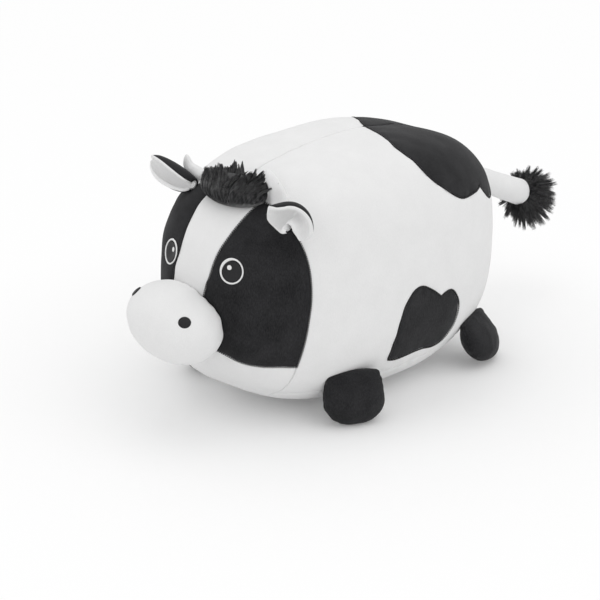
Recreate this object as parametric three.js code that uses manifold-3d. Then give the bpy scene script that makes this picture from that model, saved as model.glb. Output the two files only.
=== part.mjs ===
// Plush cow: a stuffed egg-shaped body with sewn-on muzzle, horns, ears, forelock, feet and tail.
// Lengths are in millimetres, angles in degrees. +Z is up, the nose points to -Y and the cow's left is +X.
// The origin is on the floor, at the middle of the small flat on the belly that the cow rests on.
import * as THREE from "three";
import { mergeVertices } from "three/addons/utils/BufferGeometryUtils.js";
import Module from "manifold-3d";

// Fabric and seams
const fabricThickness = 2;
const seamGap = 0.3;
const threadThickness = 0.8;
const cutOverrun = 40;
const weldDistance = 0.001;

// Body
const bodyHalfWidth = 114;
const bodyHalfHeight = 125;
const bodyFrontLength = 196;
const bodyRearLength = 191;
const restFlatDepth = 0.5;
const faceSeamDistance = 145;
const bellyPanelHeight = 33;

// Face markings
const blazeLeanShare = 0.17;
const blazeLeanHeight = 62;
const eyeSpread = 40.3;
const eyeHeight = 41;
const eyeRingRadius = 12.5;
const eyeRingWidth = 2.2;
const eyeGlintRadius = 2.4;
const eyeGlintOffset = 4.2;

// Flank patch: its size and its middle, measured from the middle of the body
const flankPatchLength = 104;
const flankPatchHeight = 76;
const flankPatchMiddle = 15;
const flankPatchDrop = 45;

// Muzzle
const muzzleHalfWidth = 53.5;
const muzzleHalfDepth = 39;
const muzzleHalfHeight = 36;
const muzzleProud = 20;
const muzzleDrop = 13;
const muzzleSideways = 5;
const muzzleRollAngle = 9;
const muzzleYawAngle = -5;
const nostrilHalfWidth = 6;
const nostrilHalfHeight = 5.6;
const nostrilLeftSideAngle = 41;
const nostrilRightSideAngle = 49;
const nostrilRiseAngle = 51;

// Horns
const hornRootDepth = 8;
const hornBaseRadius = 8;
// The left one rises and leans in, with its bend and tip measured from its root
const hornLeftSpread = 54;
const hornLeftForward = 136;
const hornLeftBendOut = 2;
const hornLeftBendForward = 3;
const hornLeftBendHeight = 16;
const hornLeftLeanIn = 9;
const hornLeftLeanForward = 8;
const hornLeftHeight = 34;
// The right one runs outward along the head, then turns up
const hornRightSpread = 49;
const hornRightForward = 132;
const hornRightRise = 3;
const hornRightRunOut = 14;
const hornRightReach = 23;
const hornRightHeight = 17;

// Forelock
const forelockHalfWidth = 46;
const forelockHalfLength = 24;
const forelockHalfHeight = 20;
const forelockForward = 145;
const forelockSideways = 5;
const forelockSink = 3;

// Ears
const earLeftSpread = 58;
const earRightSpread = 51;
const earLeftForward = 148;
const earRightForward = 142;
const earLeftLength = 58;
const earRightLength = 51;
const earLeftHalfWidth = 25;
const earRightHalfWidth = 22.5;
const earRootRadius = 6;
const earRootProud = 3.5;
const earTipForward = 4;
const earRootCurlAngle = 145;
const earMiddleCurlAngle = 128;
const earLeftTipCurlAngle = 60;
const earRightTipCurlAngle = 100;
const earLeftBendAngle = 116;
const earRightBendAngle = 4;
const earLeftOpeningAngle = 98;
const earRightOpeningAngle = 84;
const earLeftDroopAngle = -18;
const earRightDroopAngle = -16;
const earLeftHeadingAngle = 14;
const earFlopDownAngle = 12;

// Feet
const footHalfWidth = 31.5;
const footFrontTopHalfWidth = 24;
const footRearTopHalfWidth = 27;
const footHalfThickness = 15.5;
const footLength = 43.5;
const footKnuckleRadius = 9;
const footKnuckleProud = 5;
const footRootHeight = 46;
const footFrontForward = 85;
const footRearBackward = 108;
const footFrontHeadingAngle = -25;
const footRearHeadingAngle = 20;
const footFrontSplayAngle = 6;
const footRearSplayAngle = 22;
const footFrontSweepBack = 4;
const footRearSweepBack = 12;
const footFoldAngle = 30;
const limbClearance = 0.5;

// Tail
const tailRootHeight = 41;
const tailRootRadius = 11;
const tailEndRadius = 15;
const tailLength = 124;
const tailRootProud = 6;
const tailDroopAngle = 24;
const tailSwingAngle = 25;
const tuftRadius = 29;
const tuftBeyondTail = 21;

// Fullness of the body's curves, as exponents: 2 is an ellipse, and more is squarer
const bodySectionFullness = 3;
const bodyFrontFullness = 2.6;
const bodyRearFullness = 2.48;

// Counts
const bodySides = 28;
const bodyRings = 16;
const muzzleSides = 18;
const muzzleRings = 10;
const limbSides = 10;
const limbRings = 8;
const roundSides = 18;
const threadSides = 14;
const outlineSteps = 14;
const earStepsAcross = 10;

// Half width of the white blaze at heights above the body's middle, as shares of half width and half height
const blazeShares = [
  [0.18, -0.33],
  [0.19, 0.14],
  [0.206, 0.25],
  [0.206, 0.36],
  [0.215, 0.47],
  [0.237, 0.56],
  [0.256, 0.66],
  [0.268, 0.74],
  [0.29, 0.86],
  [0.31, 1.1],
];
// Lower edge of the cheek patch from under the muzzle to its rear corner, as the same shares
const cheekLowerShares = [
  [0.22, -0.33],
  [0.32, -0.365],
  [0.42, -0.4],
  [0.54, -0.42],
  [0.67, -0.428],
  [0.78, -0.445],
  [1.2, -0.47],
];
// Rear edge of the cheek patch seen from the side, as shares of the front length and half height
const cheekRearShares = [
  [-0.742, -0.48],
  [-0.728, -0.31],
  [-0.71, -0.13],
  [-0.695, 0.06],
  [-0.693, 0.26],
  [-0.7, 0.42],
  [-0.712, 0.55],
  [-0.724, 0.7],
  [-0.724, 1.2],
];
// Flank patch seen from the side, as shares of its length and height, in two stretches between its corners
const flankUpperShares = [
  [0.17, 0.25],
  [0.04, 0.38],
  [-0.11, 0.49],
  [-0.24, 0.48],
  [-0.36, 0.3],
  [-0.45, -0.04],
  [-0.5, -0.4],
];
const flankLowerShares = [
  [-0.5, -0.4],
  [-0.33, -0.45],
  [0, -0.45],
  [0.2, -0.5],
  [0.36, -0.46],
  [0.48, -0.3],
  [0.5, -0.04],
  [0.43, 0.16],
  [0.32, 0.28],
  [0.17, 0.25],
];
// Back patches seen from half way up the side, as shares of the rear length and half height
const backRightFrontShares = [
  [0.235, 1.2],
  [0.235, 0.74],
  [0.33, 0.54],
  [0.44, 0.32],
  [0.43, 0.15],
  [0.38, -0.02],
  [0.35, -0.13],
  [0.42, -0.2],
  [0.53, -0.2],
  [0.605, -0.16],
];
const backLeftFrontShares = [
  [0.235, 1.2],
  [0.225, 0.74],
  [0.17, 0.54],
  [0.105, 0.32],
  [0.125, 0.15],
  [0.17, -0.02],
  [0.25, -0.13],
  [0.37, -0.225],
  [0.53, -0.2],
  [0.605, -0.16],
];
const backRearShares = [
  [0.605, -0.16],
  [0.66, -0.21],
  [0.73, -0.235],
  [0.8, -0.18],
  [0.86, -0.04],
  [0.91, 0.16],
  [0.93, 0.4],
  [0.94, 1.2],
];

const wasm = await Module();
wasm.setup();

const degree = Math.PI / 180;
const xAxis = new THREE.Vector3(1, 0, 0);
const yAxis = new THREE.Vector3(0, 1, 0);
const zAxis = new THREE.Vector3(0, 0, 1);

// Materials

const whitePlush = { color: 0xe6e6e6, roughness: 0.95, metalness: 0 };
const blackPlush = { color: 0x262628, roughness: 0.9, metalness: 0 };
const blackFur = { color: 0x1c1c1f, roughness: 0.85, metalness: 0 };
const whiteThread = { color: 0xeeeeee, roughness: 0.6, metalness: 0 };
const darkThread = { color: 0x3c3c40, roughness: 0.6, metalness: 0 };
const blackThread = { color: 0x161618, roughness: 0.6, metalness: 0 };
const fibreFill = { color: 0xf4f4f2, roughness: 1, metalness: 0 };

function piece(name, geometry, look) {
  const mesh = new THREE.Mesh(geometry, new THREE.MeshStandardMaterial(look));
  mesh.name = name;
  geometry.computeVertexNormals();
  return mesh;
}

// Closed surfaces

function signedVolume(geometry) {
  const p = geometry.getAttribute("position");
  const index = geometry.index.array;
  const [a, b, c] = [new THREE.Vector3(), new THREE.Vector3(), new THREE.Vector3()];
  let sum = 0;
  for (let i = 0; i < index.length; i += 3) {
    a.fromBufferAttribute(p, index[i]);
    b.fromBufferAttribute(p, index[i + 1]);
    c.fromBufferAttribute(p, index[i + 2]);
    sum += a.dot(b.cross(c));
  }
  return sum;
}

function turnedOutward(geometry) {
  if (signedVolume(geometry) > 0) return geometry;
  const index = geometry.index.array;
  for (let i = 0; i < index.length; i += 3) {
    [index[i + 1], index[i + 2]] = [index[i + 2], index[i + 1]];
  }
  return geometry;
}

function surfaceOf(points, triangles) {
  const geometry = new THREE.BufferGeometry();
  geometry.setAttribute("position", new THREE.Float32BufferAttribute(points.flatMap((p) => p.toArray()), 3));
  geometry.setIndex(triangles.flat());
  return turnedOutward(geometry);
}

// A closed surface through rings of equally many points, closed by a point at each end.
function ringForm(start, rings, end) {
  const sides = rings[0].length;
  const points = [start, ...rings.flat(), end];
  const triangles = [];
  const at = (ring, side) => 1 + ring * sides + (side % sides);
  for (let side = 0; side < sides; side++) {
    triangles.push([0, at(0, side + 1), at(0, side)]);
    for (let ring = 0; ring + 1 < rings.length; ring++) {
      triangles.push([at(ring, side), at(ring, side + 1), at(ring + 1, side + 1)]);
      triangles.push([at(ring, side), at(ring + 1, side + 1), at(ring + 1, side)]);
    }
    triangles.push([points.length - 1, at(rings.length - 1, side), at(rings.length - 1, side + 1)]);
  }
  return surfaceOf(points, triangles);
}

// A closed sheet between two grids of points, with walls along its four edges.
function sheetForm(upper, lower) {
  const rows = upper.length;
  const columns = upper[0].length;
  const points = [...upper.flat(), ...lower.flat()];
  const up = (row, column) => row * columns + column;
  const down = (row, column) => rows * columns + up(row, column);
  const triangles = [];
  const quad = (a, b, c, d) => triangles.push([a, b, c], [a, c, d]);
  for (let row = 0; row + 1 < rows; row++) {
    for (let column = 0; column + 1 < columns; column++) {
      quad(up(row, column), up(row, column + 1), up(row + 1, column + 1), up(row + 1, column));
      quad(down(row, column), down(row + 1, column), down(row + 1, column + 1), down(row, column + 1));
    }
    quad(up(row, 0), up(row + 1, 0), down(row + 1, 0), down(row, 0));
    quad(up(row + 1, columns - 1), up(row, columns - 1), down(row, columns - 1), down(row + 1, columns - 1));
  }
  for (let column = 0; column + 1 < columns; column++) {
    quad(up(0, column + 1), up(0, column), down(0, column), down(0, column + 1));
    quad(up(rows - 1, column), up(rows - 1, column + 1), down(rows - 1, column + 1), down(rows - 1, column));
  }
  return surfaceOf(points, triangles);
}

// Joining and cutting

function solidOf(geometry) {
  const bare = geometry.clone();
  bare.deleteAttribute("normal");
  bare.deleteAttribute("uv");
  const merged = mergeVertices(bare, weldDistance);
  return new wasm.Manifold(
    new wasm.Mesh({
      numProp: 3,
      vertProperties: new Float32Array(merged.getAttribute("position").array),
      triVerts: new Uint32Array(merged.index.array),
    }),
  );
}

function geometryOf(solid) {
  const mesh = solid.getMesh();
  const geometry = new THREE.BufferGeometry();
  geometry.setAttribute("position", new THREE.BufferAttribute(new Float32Array(mesh.vertProperties), 3));
  geometry.setIndex(new THREE.BufferAttribute(new Uint32Array(mesh.triVerts), 1));
  return geometry;
}

function mirrored(geometry) {
  const copy = geometry.clone().applyMatrix4(new THREE.Matrix4().makeScale(-1, 1, 1));
  return turnedOutward(copy);
}

function block(low, high) {
  const size = new THREE.Vector3().subVectors(high, low);
  const middle = new THREE.Vector3().addVectors(low, high).multiplyScalar(0.5);
  return solidOf(new THREE.BoxGeometry(size.x, size.y, size.z).translate(middle.x, middle.y, middle.z));
}

function cylinderAlong(axis, centre, radius, length, sides) {
  const turn = new THREE.Quaternion().setFromUnitVectors(yAxis, axis.clone().normalize());
  const geometry = new THREE.CylinderGeometry(radius, radius, length, sides);
  geometry.applyQuaternion(turn).translate(centre.x, centre.y, centre.z);
  return solidOf(geometry);
}

// An outline drawn on the plane of two axes, pushed along their cross product from zero to a depth.
function prism(outline, across, up, depth) {
  const geometry = new THREE.ExtrudeGeometry(new THREE.Shape(outline), { depth, bevelEnabled: false });
  const along = new THREE.Vector3().crossVectors(across, up);
  return solidOf(geometry.applyMatrix4(new THREE.Matrix4().makeBasis(across, up, along)));
}

function smoothStretch(points, steps) {
  return new THREE.SplineCurve(points).getPoints(steps);
}

// The outline with each point moved outward by a distance.
function grown(outline, distance) {
  const turn = THREE.ShapeUtils.area(outline) > 0 ? 1 : -1;
  const normal = (from, to) => new THREE.Vector2(to.y - from.y, from.x - to.x).normalize().multiplyScalar(turn);
  return outline.map((point, i) => {
    const before = outline.at(i - 1);
    const after = outline[(i + 1) % outline.length];
    const outward = normal(before, point).add(normal(point, after)).normalize();
    return point.clone().addScaledVector(outward, distance);
  });
}

// Body form

function bodyLengthAt(share) {
  return share < 0 ? bodyFrontLength : bodyRearLength;
}

// A surface that lies inside the body's outer face by the inset, or outside it by a negative one.
function bodyForm(inset) {
  const width = bodyHalfWidth - inset;
  const height = bodyHalfHeight - inset;
  const sectionPoint = (turn) => {
    const [c, s] = [Math.cos(turn), Math.sin(turn)];
    const sum = Math.abs(c / width) ** bodySectionFullness + Math.abs(s / height) ** bodySectionFullness;
    const reach = sum ** (-1 / bodySectionFullness);
    return new THREE.Vector2(c * reach, s * reach);
  };
  const rings = [];
  for (let ring = 1; ring < bodyRings; ring++) {
    const angle = (Math.PI * ring) / bodyRings;
    const fullness = ring * 2 < bodyRings ? bodyFrontFullness : bodyRearFullness;
    const along = -Math.sign(Math.cos(angle)) * Math.abs(Math.cos(angle)) ** (2 / fullness);
    const swell = Math.sin(angle) ** (2 / fullness);
    const y = along * (bodyLengthAt(along) - inset);
    const points = [];
    for (let side = 0; side < bodySides; side++) {
      const p = sectionPoint((2 * Math.PI * side) / bodySides);
      points.push(new THREE.Vector3(p.x * swell, y, p.y * swell));
    }
    rings.push(points);
  }
  return ringForm(
    new THREE.Vector3(0, inset - bodyFrontLength, 0),
    rings,
    new THREE.Vector3(0, bodyRearLength - inset, 0),
  );
}

function lengthFullness(y) {
  return y < 0 ? bodyFrontFullness : bodyRearFullness;
}

// How far a point is out from the body's middle, where 1 is the body's outer face.
function bodyMeasure(p) {
  const section =
    Math.abs(p.x / bodyHalfWidth) ** bodySectionFullness + Math.abs(p.z / bodyHalfHeight) ** bodySectionFullness;
  const fullness = lengthFullness(p.y);
  const along = Math.abs(p.y / bodyLengthAt(p.y)) ** fullness;
  return section ** (fullness / bodySectionFullness) + along;
}

// The point of the body's outer face that lies beyond a start point in a direction.
function bodyPoint(start, direction) {
  let near = 0;
  let far = bodyFrontLength + bodyRearLength;
  for (let step = 0; step < 40; step++) {
    const middle = (near + far) / 2;
    const inside = bodyMeasure(start.clone().addScaledVector(direction, middle)) < 1;
    if (inside) near = middle;
    else far = middle;
  }
  return start.clone().addScaledVector(direction, near);
}

function bodyNormal(p) {
  const step = bodyHalfWidth / 1000;
  const slope = (axis) =>
    bodyMeasure(p.clone().addScaledVector(axis, step)) - bodyMeasure(p.clone().addScaledVector(axis, -step));
  return new THREE.Vector3(slope(xAxis), slope(yAxis), slope(zAxis)).normalize();
}

// Markings, as solids that cut the body's fabric

function cheekCutter(side, growth) {
  const lean = (z) => blazeLeanShare * (z - blazeLeanHeight);
  const inner = blazeShares.map(([x, z]) => {
    const height = z * bodyHalfHeight;
    return new THREE.Vector2(x * bodyHalfWidth + side * lean(height), height);
  });
  const lower = cheekLowerShares.map(([x, z]) => new THREE.Vector2(x * bodyHalfWidth, z * bodyHalfHeight));
  const outer = new THREE.Vector2(lower.at(-1).x, inner.at(-1).y);
  const front = [
    ...smoothStretch(inner.reverse(), outlineSteps),
    ...smoothStretch(lower, outlineSteps),
    outer,
  ];
  const rear = smoothStretch(
    cheekRearShares.map(([y, z]) => new THREE.Vector2(y * bodyFrontLength, z * bodyHalfHeight)),
    outlineSteps,
  );
  const ahead = -bodyFrontLength - cutOverrun;
  const seenFromSide = [...rear, new THREE.Vector2(ahead, rear.at(-1).y), new THREE.Vector2(ahead, rear[0].y)];
  const fromFront = prism(grown(front, growth), xAxis, zAxis, bodyFrontLength + cutOverrun);
  const fromSide = prism(grown(seenFromSide, growth), yAxis, zAxis, bodyHalfWidth + cutOverrun);
  return fromFront.intersect(fromSide);
}

function flankCutter(growth) {
  const place = ([y, z]) =>
    new THREE.Vector2(y * flankPatchLength + flankPatchMiddle, z * flankPatchHeight - flankPatchDrop);
  const outline = [
    ...smoothStretch(flankUpperShares.map(place), outlineSteps).slice(0, -1),
    ...smoothStretch(flankLowerShares.map(place), outlineSteps + outlineSteps).slice(0, -1),
  ];
  return prism(grown(outline, growth), yAxis, zAxis, bodyHalfWidth + cutOverrun);
}

function backCutter(side, growth) {
  const frontShares = side > 0 ? backLeftFrontShares : backRightFrontShares;
  const place = ([y, v]) => new THREE.Vector2(y * bodyRearLength, v * bodyHalfHeight);
  const outline = [
    ...smoothStretch(frontShares.map(place), outlineSteps + outlineSteps).slice(0, -1),
    ...smoothStretch(backRearShares.map(place), outlineSteps),
  ];
  const upSlope = new THREE.Vector3(-1, 0, 1).normalize();
  return prism(grown(outline, growth), yAxis, upSlope, bodyHalfWidth + bodyHalfHeight);
}

// Places of the limbs, all measured from the body's middle

function placeOnBody(start, direction, proud) {
  const point = bodyPoint(start, direction);
  const normal = bodyNormal(point);
  return { point, normal, pivot: point.clone().addScaledVector(normal, proud) };
}

function footPlace(y) {
  const height = footRootHeight + restFlatDepth - bodyHalfHeight;
  return placeOnBody(new THREE.Vector3(0, y, height), xAxis, footKnuckleProud);
}

const frontFoot = footPlace(-footFrontForward);
const rearFoot = footPlace(footRearBackward);
const leftEarRoot = placeOnBody(new THREE.Vector3(earLeftSpread, -earLeftForward, 0), zAxis, earRootProud);
const rightEarRoot = placeOnBody(new THREE.Vector3(earRightSpread, -earRightForward, 0), zAxis, earRootProud);
const tailRoot = placeOnBody(new THREE.Vector3(0, 0, tailRootHeight), yAxis, tailRootProud);
const forelockRoot = placeOnBody(new THREE.Vector3(forelockSideways, -forelockForward, 0), zAxis, -forelockSink);
const leftHornRoot = placeOnBody(new THREE.Vector3(hornLeftSpread, -hornLeftForward, 0), zAxis, -hornRootDepth);
const rightHornRoot = placeOnBody(new THREE.Vector3(hornRightSpread, -hornRightForward, 0), zAxis, -hornRootDepth);
const eyeSpot = placeOnBody(new THREE.Vector3(eyeSpread, 0, eyeHeight), yAxis.clone().negate(), 0);

// Sockets that the limbs turn in

function footSocket(place, heading, topHalfWidth) {
  const axis = new THREE.Vector3(0, 1, 0).applyAxisAngle(zAxis, heading * degree);
  const length = 2 * (topHalfWidth + limbClearance);
  return cylinderAlong(axis, place.pivot, footKnuckleRadius + limbClearance, length, roundSides);
}

function ballSocket(place, radius) {
  const { x, y, z } = place.pivot;
  return solidOf(new THREE.SphereGeometry(radius + limbClearance, roundSides, limbSides).translate(x, y, z));
}

function limbSockets(earRoot) {
  return footSocket(frontFoot, footFrontHeadingAngle, footFrontTopHalfWidth)
    .add(footSocket(rearFoot, footRearHeadingAngle, footRearTopHalfWidth))
    .add(ballSocket(earRoot, earRootRadius))
    .add(ballSocket(tailRoot, tailRootRadius));
}

function mirroredSolid(solid) {
  return solidOf(mirrored(geometryOf(solid)));
}

const sockets = limbSockets(leftEarRoot).add(mirroredSolid(limbSockets(rightEarRoot)));
const socketsMirrored = mirroredSolid(sockets);

// Body pieces

const bodyOuter = solidOf(bodyForm(0));
const bodySkin = bodyOuter.subtract(solidOf(bodyForm(fabricThickness)));
const bodyClear = solidOf(bodyForm(-seamGap));
const farWidth = bodyHalfWidth + cutOverrun;
const farHeight = bodyHalfHeight + cutOverrun;
const farFront = -bodyFrontLength - cutOverrun;
const farRear = bodyRearLength + cutOverrun;
const halfGap = seamGap / 2;
const bellySeamLevel = bellyPanelHeight - bodyHalfHeight;

function region(lowX, highX, lowY, highY, lowZ, highZ) {
  return block(new THREE.Vector3(lowX, lowY, lowZ), new THREE.Vector3(highX, highY, highZ));
}

function sidePanel(side) {
  const part = region(halfGap, farWidth, halfGap - faceSeamDistance, farRear, halfGap + bellySeamLevel, farHeight);
  return bodySkin
    .intersect(part)
    .subtract(cheekCutter(side, seamGap))
    .subtract(flankCutter(seamGap))
    .subtract(backCutter(side, seamGap))
    .subtract(side > 0 ? sockets : socketsMirrored);
}

function facePanel() {
  const part = region(-farWidth, farWidth, farFront, -halfGap - faceSeamDistance, -farHeight, farHeight);
  return bodySkin
    .intersect(part)
    .subtract(cheekCutter(1, seamGap))
    .subtract(mirroredSolid(cheekCutter(-1, seamGap)))
    .subtract(sockets);
}

function bellyPanel() {
  const low = restFlatDepth - bodyHalfHeight;
  const part = region(-farWidth, farWidth, halfGap - faceSeamDistance, farRear, low, bellySeamLevel - halfGap);
  return bodySkin.intersect(part).subtract(sockets);
}

function cheekPatch(side) {
  return bodySkin.intersect(cheekCutter(side, 0)).subtract(side > 0 ? sockets : socketsMirrored);
}

function flankPatch() {
  return bodySkin.intersect(flankCutter(0)).subtract(sockets);
}

function backPatch(side) {
  const leftHalf = region(halfGap, farWidth, farFront, farRear, -farHeight, farHeight);
  return bodySkin.intersect(leftHalf).intersect(backCutter(side, 0)).subtract(sockets);
}

function bodyStuffing() {
  return solidOf(bodyForm(fabricThickness + seamGap)).subtract(sockets);
}

// Embroidered eye: a ring, a pupil inside it and a glint on the pupil

function threadLayer(level) {
  const low = seamGap + level * (threadThickness + seamGap);
  return solidOf(bodyForm(-low - threadThickness)).subtract(solidOf(bodyForm(-low)));
}

function eyeBar(radius, offset) {
  const sideways = new THREE.Vector3().crossVectors(zAxis, eyeSpot.normal).normalize();
  const centre = eyeSpot.point.clone();
  centre.addScaledVector(sideways, -offset * Math.SQRT1_2);
  centre.addScaledVector(zAxis, offset * Math.SQRT1_2);
  return cylinderAlong(eyeSpot.normal, centre, radius, cutOverrun, threadSides);
}

const firstThreads = threadLayer(0);
const eyeRing = firstThreads.intersect(
  eyeBar(eyeRingRadius, 0).subtract(eyeBar(eyeRingRadius - eyeRingWidth, 0)),
);
const eyePupil = firstThreads.intersect(eyeBar(eyeRingRadius - eyeRingWidth - seamGap, 0));
const eyeGlint = threadLayer(1).intersect(eyeBar(eyeGlintRadius, eyeGlintOffset));

// Muzzle: a rolled and turned ellipsoid, cut by the face

const muzzlePlace = new THREE.Matrix4().compose(
  new THREE.Vector3(-muzzleSideways, -bodyFrontLength - muzzleProud, -muzzleDrop),
  new THREE.Quaternion().setFromEuler(new THREE.Euler(0, muzzleRollAngle * degree, muzzleYawAngle * degree, "YZX")),
  new THREE.Vector3(1, 1, 1),
);

function muzzleForm(inset) {
  const at = (turn, tilt, radius) =>
    new THREE.Vector3(
      (muzzleHalfWidth - inset) * Math.cos(tilt),
      -(muzzleHalfDepth - inset) * radius * Math.cos(turn),
      (muzzleHalfHeight - inset) * radius * Math.sin(turn),
    ).applyMatrix4(muzzlePlace);
  const rings = [];
  for (let ring = 1; ring < muzzleRings; ring++) {
    const tilt = (Math.PI * ring) / muzzleRings;
    const points = [];
    for (let side = 0; side < muzzleSides; side++) {
      points.push(at((2 * Math.PI * side) / muzzleSides, tilt, Math.sin(tilt)));
    }
    rings.push(points);
  }
  return ringForm(at(0, 0, 0), rings, at(0, Math.PI, 0));
}

const muzzleCover = solidOf(muzzleForm(0))
  .subtract(solidOf(muzzleForm(fabricThickness)))
  .subtract(bodyClear);
const muzzleStuffing = solidOf(muzzleForm(fabricThickness + seamGap)).subtract(bodyClear);

function nostril(side) {
  const sideAngle = side > 0 ? nostrilLeftSideAngle : nostrilRightSideAngle;
  const [lateral, rise] = [sideAngle * degree, nostrilRiseAngle * degree];
  const unit = new THREE.Vector3(
    side * Math.sin(lateral),
    -Math.cos(lateral) * Math.cos(rise),
    Math.cos(lateral) * Math.sin(rise),
  );
  const size = new THREE.Vector3(muzzleHalfWidth, muzzleHalfDepth, muzzleHalfHeight);
  const centre = unit.clone().multiply(size).applyMatrix4(muzzlePlace);
  const normal = unit.clone().divide(size).transformDirection(muzzlePlace);
  const bar = new THREE.CylinderGeometry(nostrilHalfWidth, nostrilHalfWidth, cutOverrun, limbSides);
  bar.scale(1, 1, nostrilHalfHeight / nostrilHalfWidth);
  bar.applyQuaternion(new THREE.Quaternion().setFromUnitVectors(yAxis, normal));
  bar.translate(centre.x, centre.y, centre.z);
  return solidOf(muzzleForm(-seamGap - threadThickness))
    .subtract(solidOf(muzzleForm(-seamGap)))
    .intersect(solidOf(bar));
}

// Horn: a tapered curved tube with a round tip, cut by the head

const leftHornCurve = new THREE.QuadraticBezierCurve3(
  leftHornRoot.pivot,
  new THREE.Vector3(hornLeftBendOut, -hornLeftBendForward, hornLeftBendHeight).add(leftHornRoot.point),
  new THREE.Vector3(-hornLeftLeanIn, -hornLeftLeanForward, hornLeftHeight).add(leftHornRoot.point),
);
const rightHornCurve = new THREE.CubicBezierCurve3(
  rightHornRoot.pivot,
  new THREE.Vector3(hornRightRunOut, 0, hornRightRise).add(rightHornRoot.point),
  new THREE.Vector3(hornRightReach, 0, 0).add(rightHornRoot.point),
  new THREE.Vector3(hornRightReach, 0, hornRightHeight).add(rightHornRoot.point),
);

// A point of a curve, also a little beyond its ends.
function curvePoint(curve, share) {
  const within = Math.min(Math.max(share, 0), 1);
  return curve.getPointAt(within).addScaledVector(curve.getTangentAt(within), (share - within) * curve.getLength());
}

// A closed tube along a curve, with a half width and a half height at each share of its length.
function tubeForm(curve, sizeAt, reference, inset, ringShares) {
  const length = curve.getLength();
  const endShare = inset / length;
  const shares = ringShares.map((share) => endShare + share * (1 - 2 * endShare));
  const rings = shares.slice(1, -1).map((share, i) => {
    const centre = curvePoint(curve, share);
    const tangent = curve.getTangentAt(Math.min(Math.max(share, 0), 1));
    const across = new THREE.Vector3().crossVectors(tangent, reference).normalize();
    const up = new THREE.Vector3().crossVectors(across, tangent).normalize();
    const [halfWidth, halfHeight] = sizeAt(ringShares[i + 1]);
    const points = [];
    for (let side = 0; side < limbSides; side++) {
      const turn = (2 * Math.PI * side) / limbSides;
      points.push(
        centre
          .clone()
          .addScaledVector(across, (halfWidth - inset) * Math.cos(turn))
          .addScaledVector(up, (halfHeight - inset) * Math.sin(turn)),
      );
    }
    return points;
  });
  return ringForm(curvePoint(curve, shares[0]), rings, curvePoint(curve, shares.at(-1)));
}

const hornRingShares = [0, 0.02, 0.3, 0.5, 0.68, 0.83, 0.94, 1];

function hornForm(curve, inset) {
  const sizeAt = (share) => {
    const radius = hornBaseRadius * (1 - 0.5 * share ** 1.5) * Math.sqrt(1 - share ** 6);
    return [radius, radius];
  };
  return solidOf(tubeForm(curve, sizeAt, yAxis, inset, hornRingShares));
}

function hornPieces(curve) {
  const cover = hornForm(curve, 0).subtract(hornForm(curve, fabricThickness));
  return [
    ["cover", geometryOf(cover.subtract(bodyClear)), whitePlush],
    ["stuffing", geometryOf(hornForm(curve, fabricThickness + seamGap).subtract(bodyClear)), fibreFill],
  ];
}

// Forelock: the outer shape of the fur between the horns

function forelockForm() {
  const blob = new THREE.SphereGeometry(1, roundSides, limbSides);
  blob.scale(forelockHalfWidth, forelockHalfLength, forelockHalfHeight);
  blob.translate(forelockRoot.pivot.x, forelockRoot.pivot.y, forelockRoot.pivot.z);
  return solidOf(blob)
    .subtract(bodyClear)
    .subtract(hornForm(leftHornCurve, -seamGap))
    .subtract(mirroredSolid(hornForm(rightHornCurve, -seamGap)))
    .subtract(sockets);
}

// The body with its sockets, seen from a limb's own axes at each of the angles it turns to about its seam.
const bodyWithSockets = geometryOf(solidOf(bodyForm(-limbClearance)).subtract(sockets));
const bodyWithSocketsMirrored = mirrored(bodyWithSockets);

function bodySeenFrom(group, axis, angles, seen = bodyWithSockets) {
  const views = angles.map((angle) => {
    const turned = group.clone();
    turned.quaternion.premultiply(new THREE.Quaternion().setFromAxisAngle(axis, angle * degree));
    turned.updateMatrix();
    return solidOf(seen.clone().applyMatrix4(turned.matrix.invert()));
  });
  return views.reduce((all, one) => all.add(one));
}

// Ear: a rolled leaf, a white lining in a black back. The left one bends down and unrolls towards its tip.

const earRowShares = [0, 0.1, 0.2, 0.3, 0.4, 0.5, 0.6, 0.7, 0.79, 0.87, 0.94, 0.98, 1];
const earRootWidthShare = 0.45;
const earTipWidthShare = 0.12;
const earInnerShare = 0.3;
const earWidestShare = 0.35;
const earCurlMiddleShare = 0.4;
const earBendStartShare = 0.15;
const earBendEndShare = 0.95;
const earSpineSteps = 40;

const leftEarLeaf = {
  root: leftEarRoot,
  length: earLeftLength,
  halfWidth: earLeftHalfWidth,
  tipCurl: earLeftTipCurlAngle,
  bend: earLeftBendAngle,
  opening: earLeftOpeningAngle,
  droop: earLeftDroopAngle,
  heading: earLeftHeadingAngle,
  body: bodyWithSockets,
};

const rightEarLeaf = {
  root: rightEarRoot,
  length: earRightLength,
  halfWidth: earRightHalfWidth,
  tipCurl: earRightTipCurlAngle,
  bend: earRightBendAngle,
  opening: earRightOpeningAngle,
  droop: earRightDroopAngle,
  heading: 0,
  body: bodyWithSocketsMirrored,
};

function earWidthShare(share) {
  if (share < earWidestShare) {
    const swell = Math.sqrt(Math.sin((Math.PI / 2) * (share / earWidestShare)));
    return earRootWidthShare + (1 - earRootWidthShare) * swell;
  }
  const taper = (1 - ((share - earWidestShare) / (1 - earWidestShare)) ** 2.1) ** 0.7;
  return earTipWidthShare + (1 - earTipWidthShare) * taper;
}

function earCurl(leaf, share) {
  if (share < earCurlMiddleShare) {
    const blend = share / earCurlMiddleShare;
    return (earRootCurlAngle + (earMiddleCurlAngle - earRootCurlAngle) * blend) * degree;
  }
  const blend = (share - earCurlMiddleShare) / (1 - earCurlMiddleShare);
  return (earMiddleCurlAngle + (leaf.tipCurl - earMiddleCurlAngle) * blend) * degree;
}

function earTurn(leaf, share) {
  return leaf.bend * degree * THREE.MathUtils.smoothstep(share, earBendStartShare, earBendEndShare);
}

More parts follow.
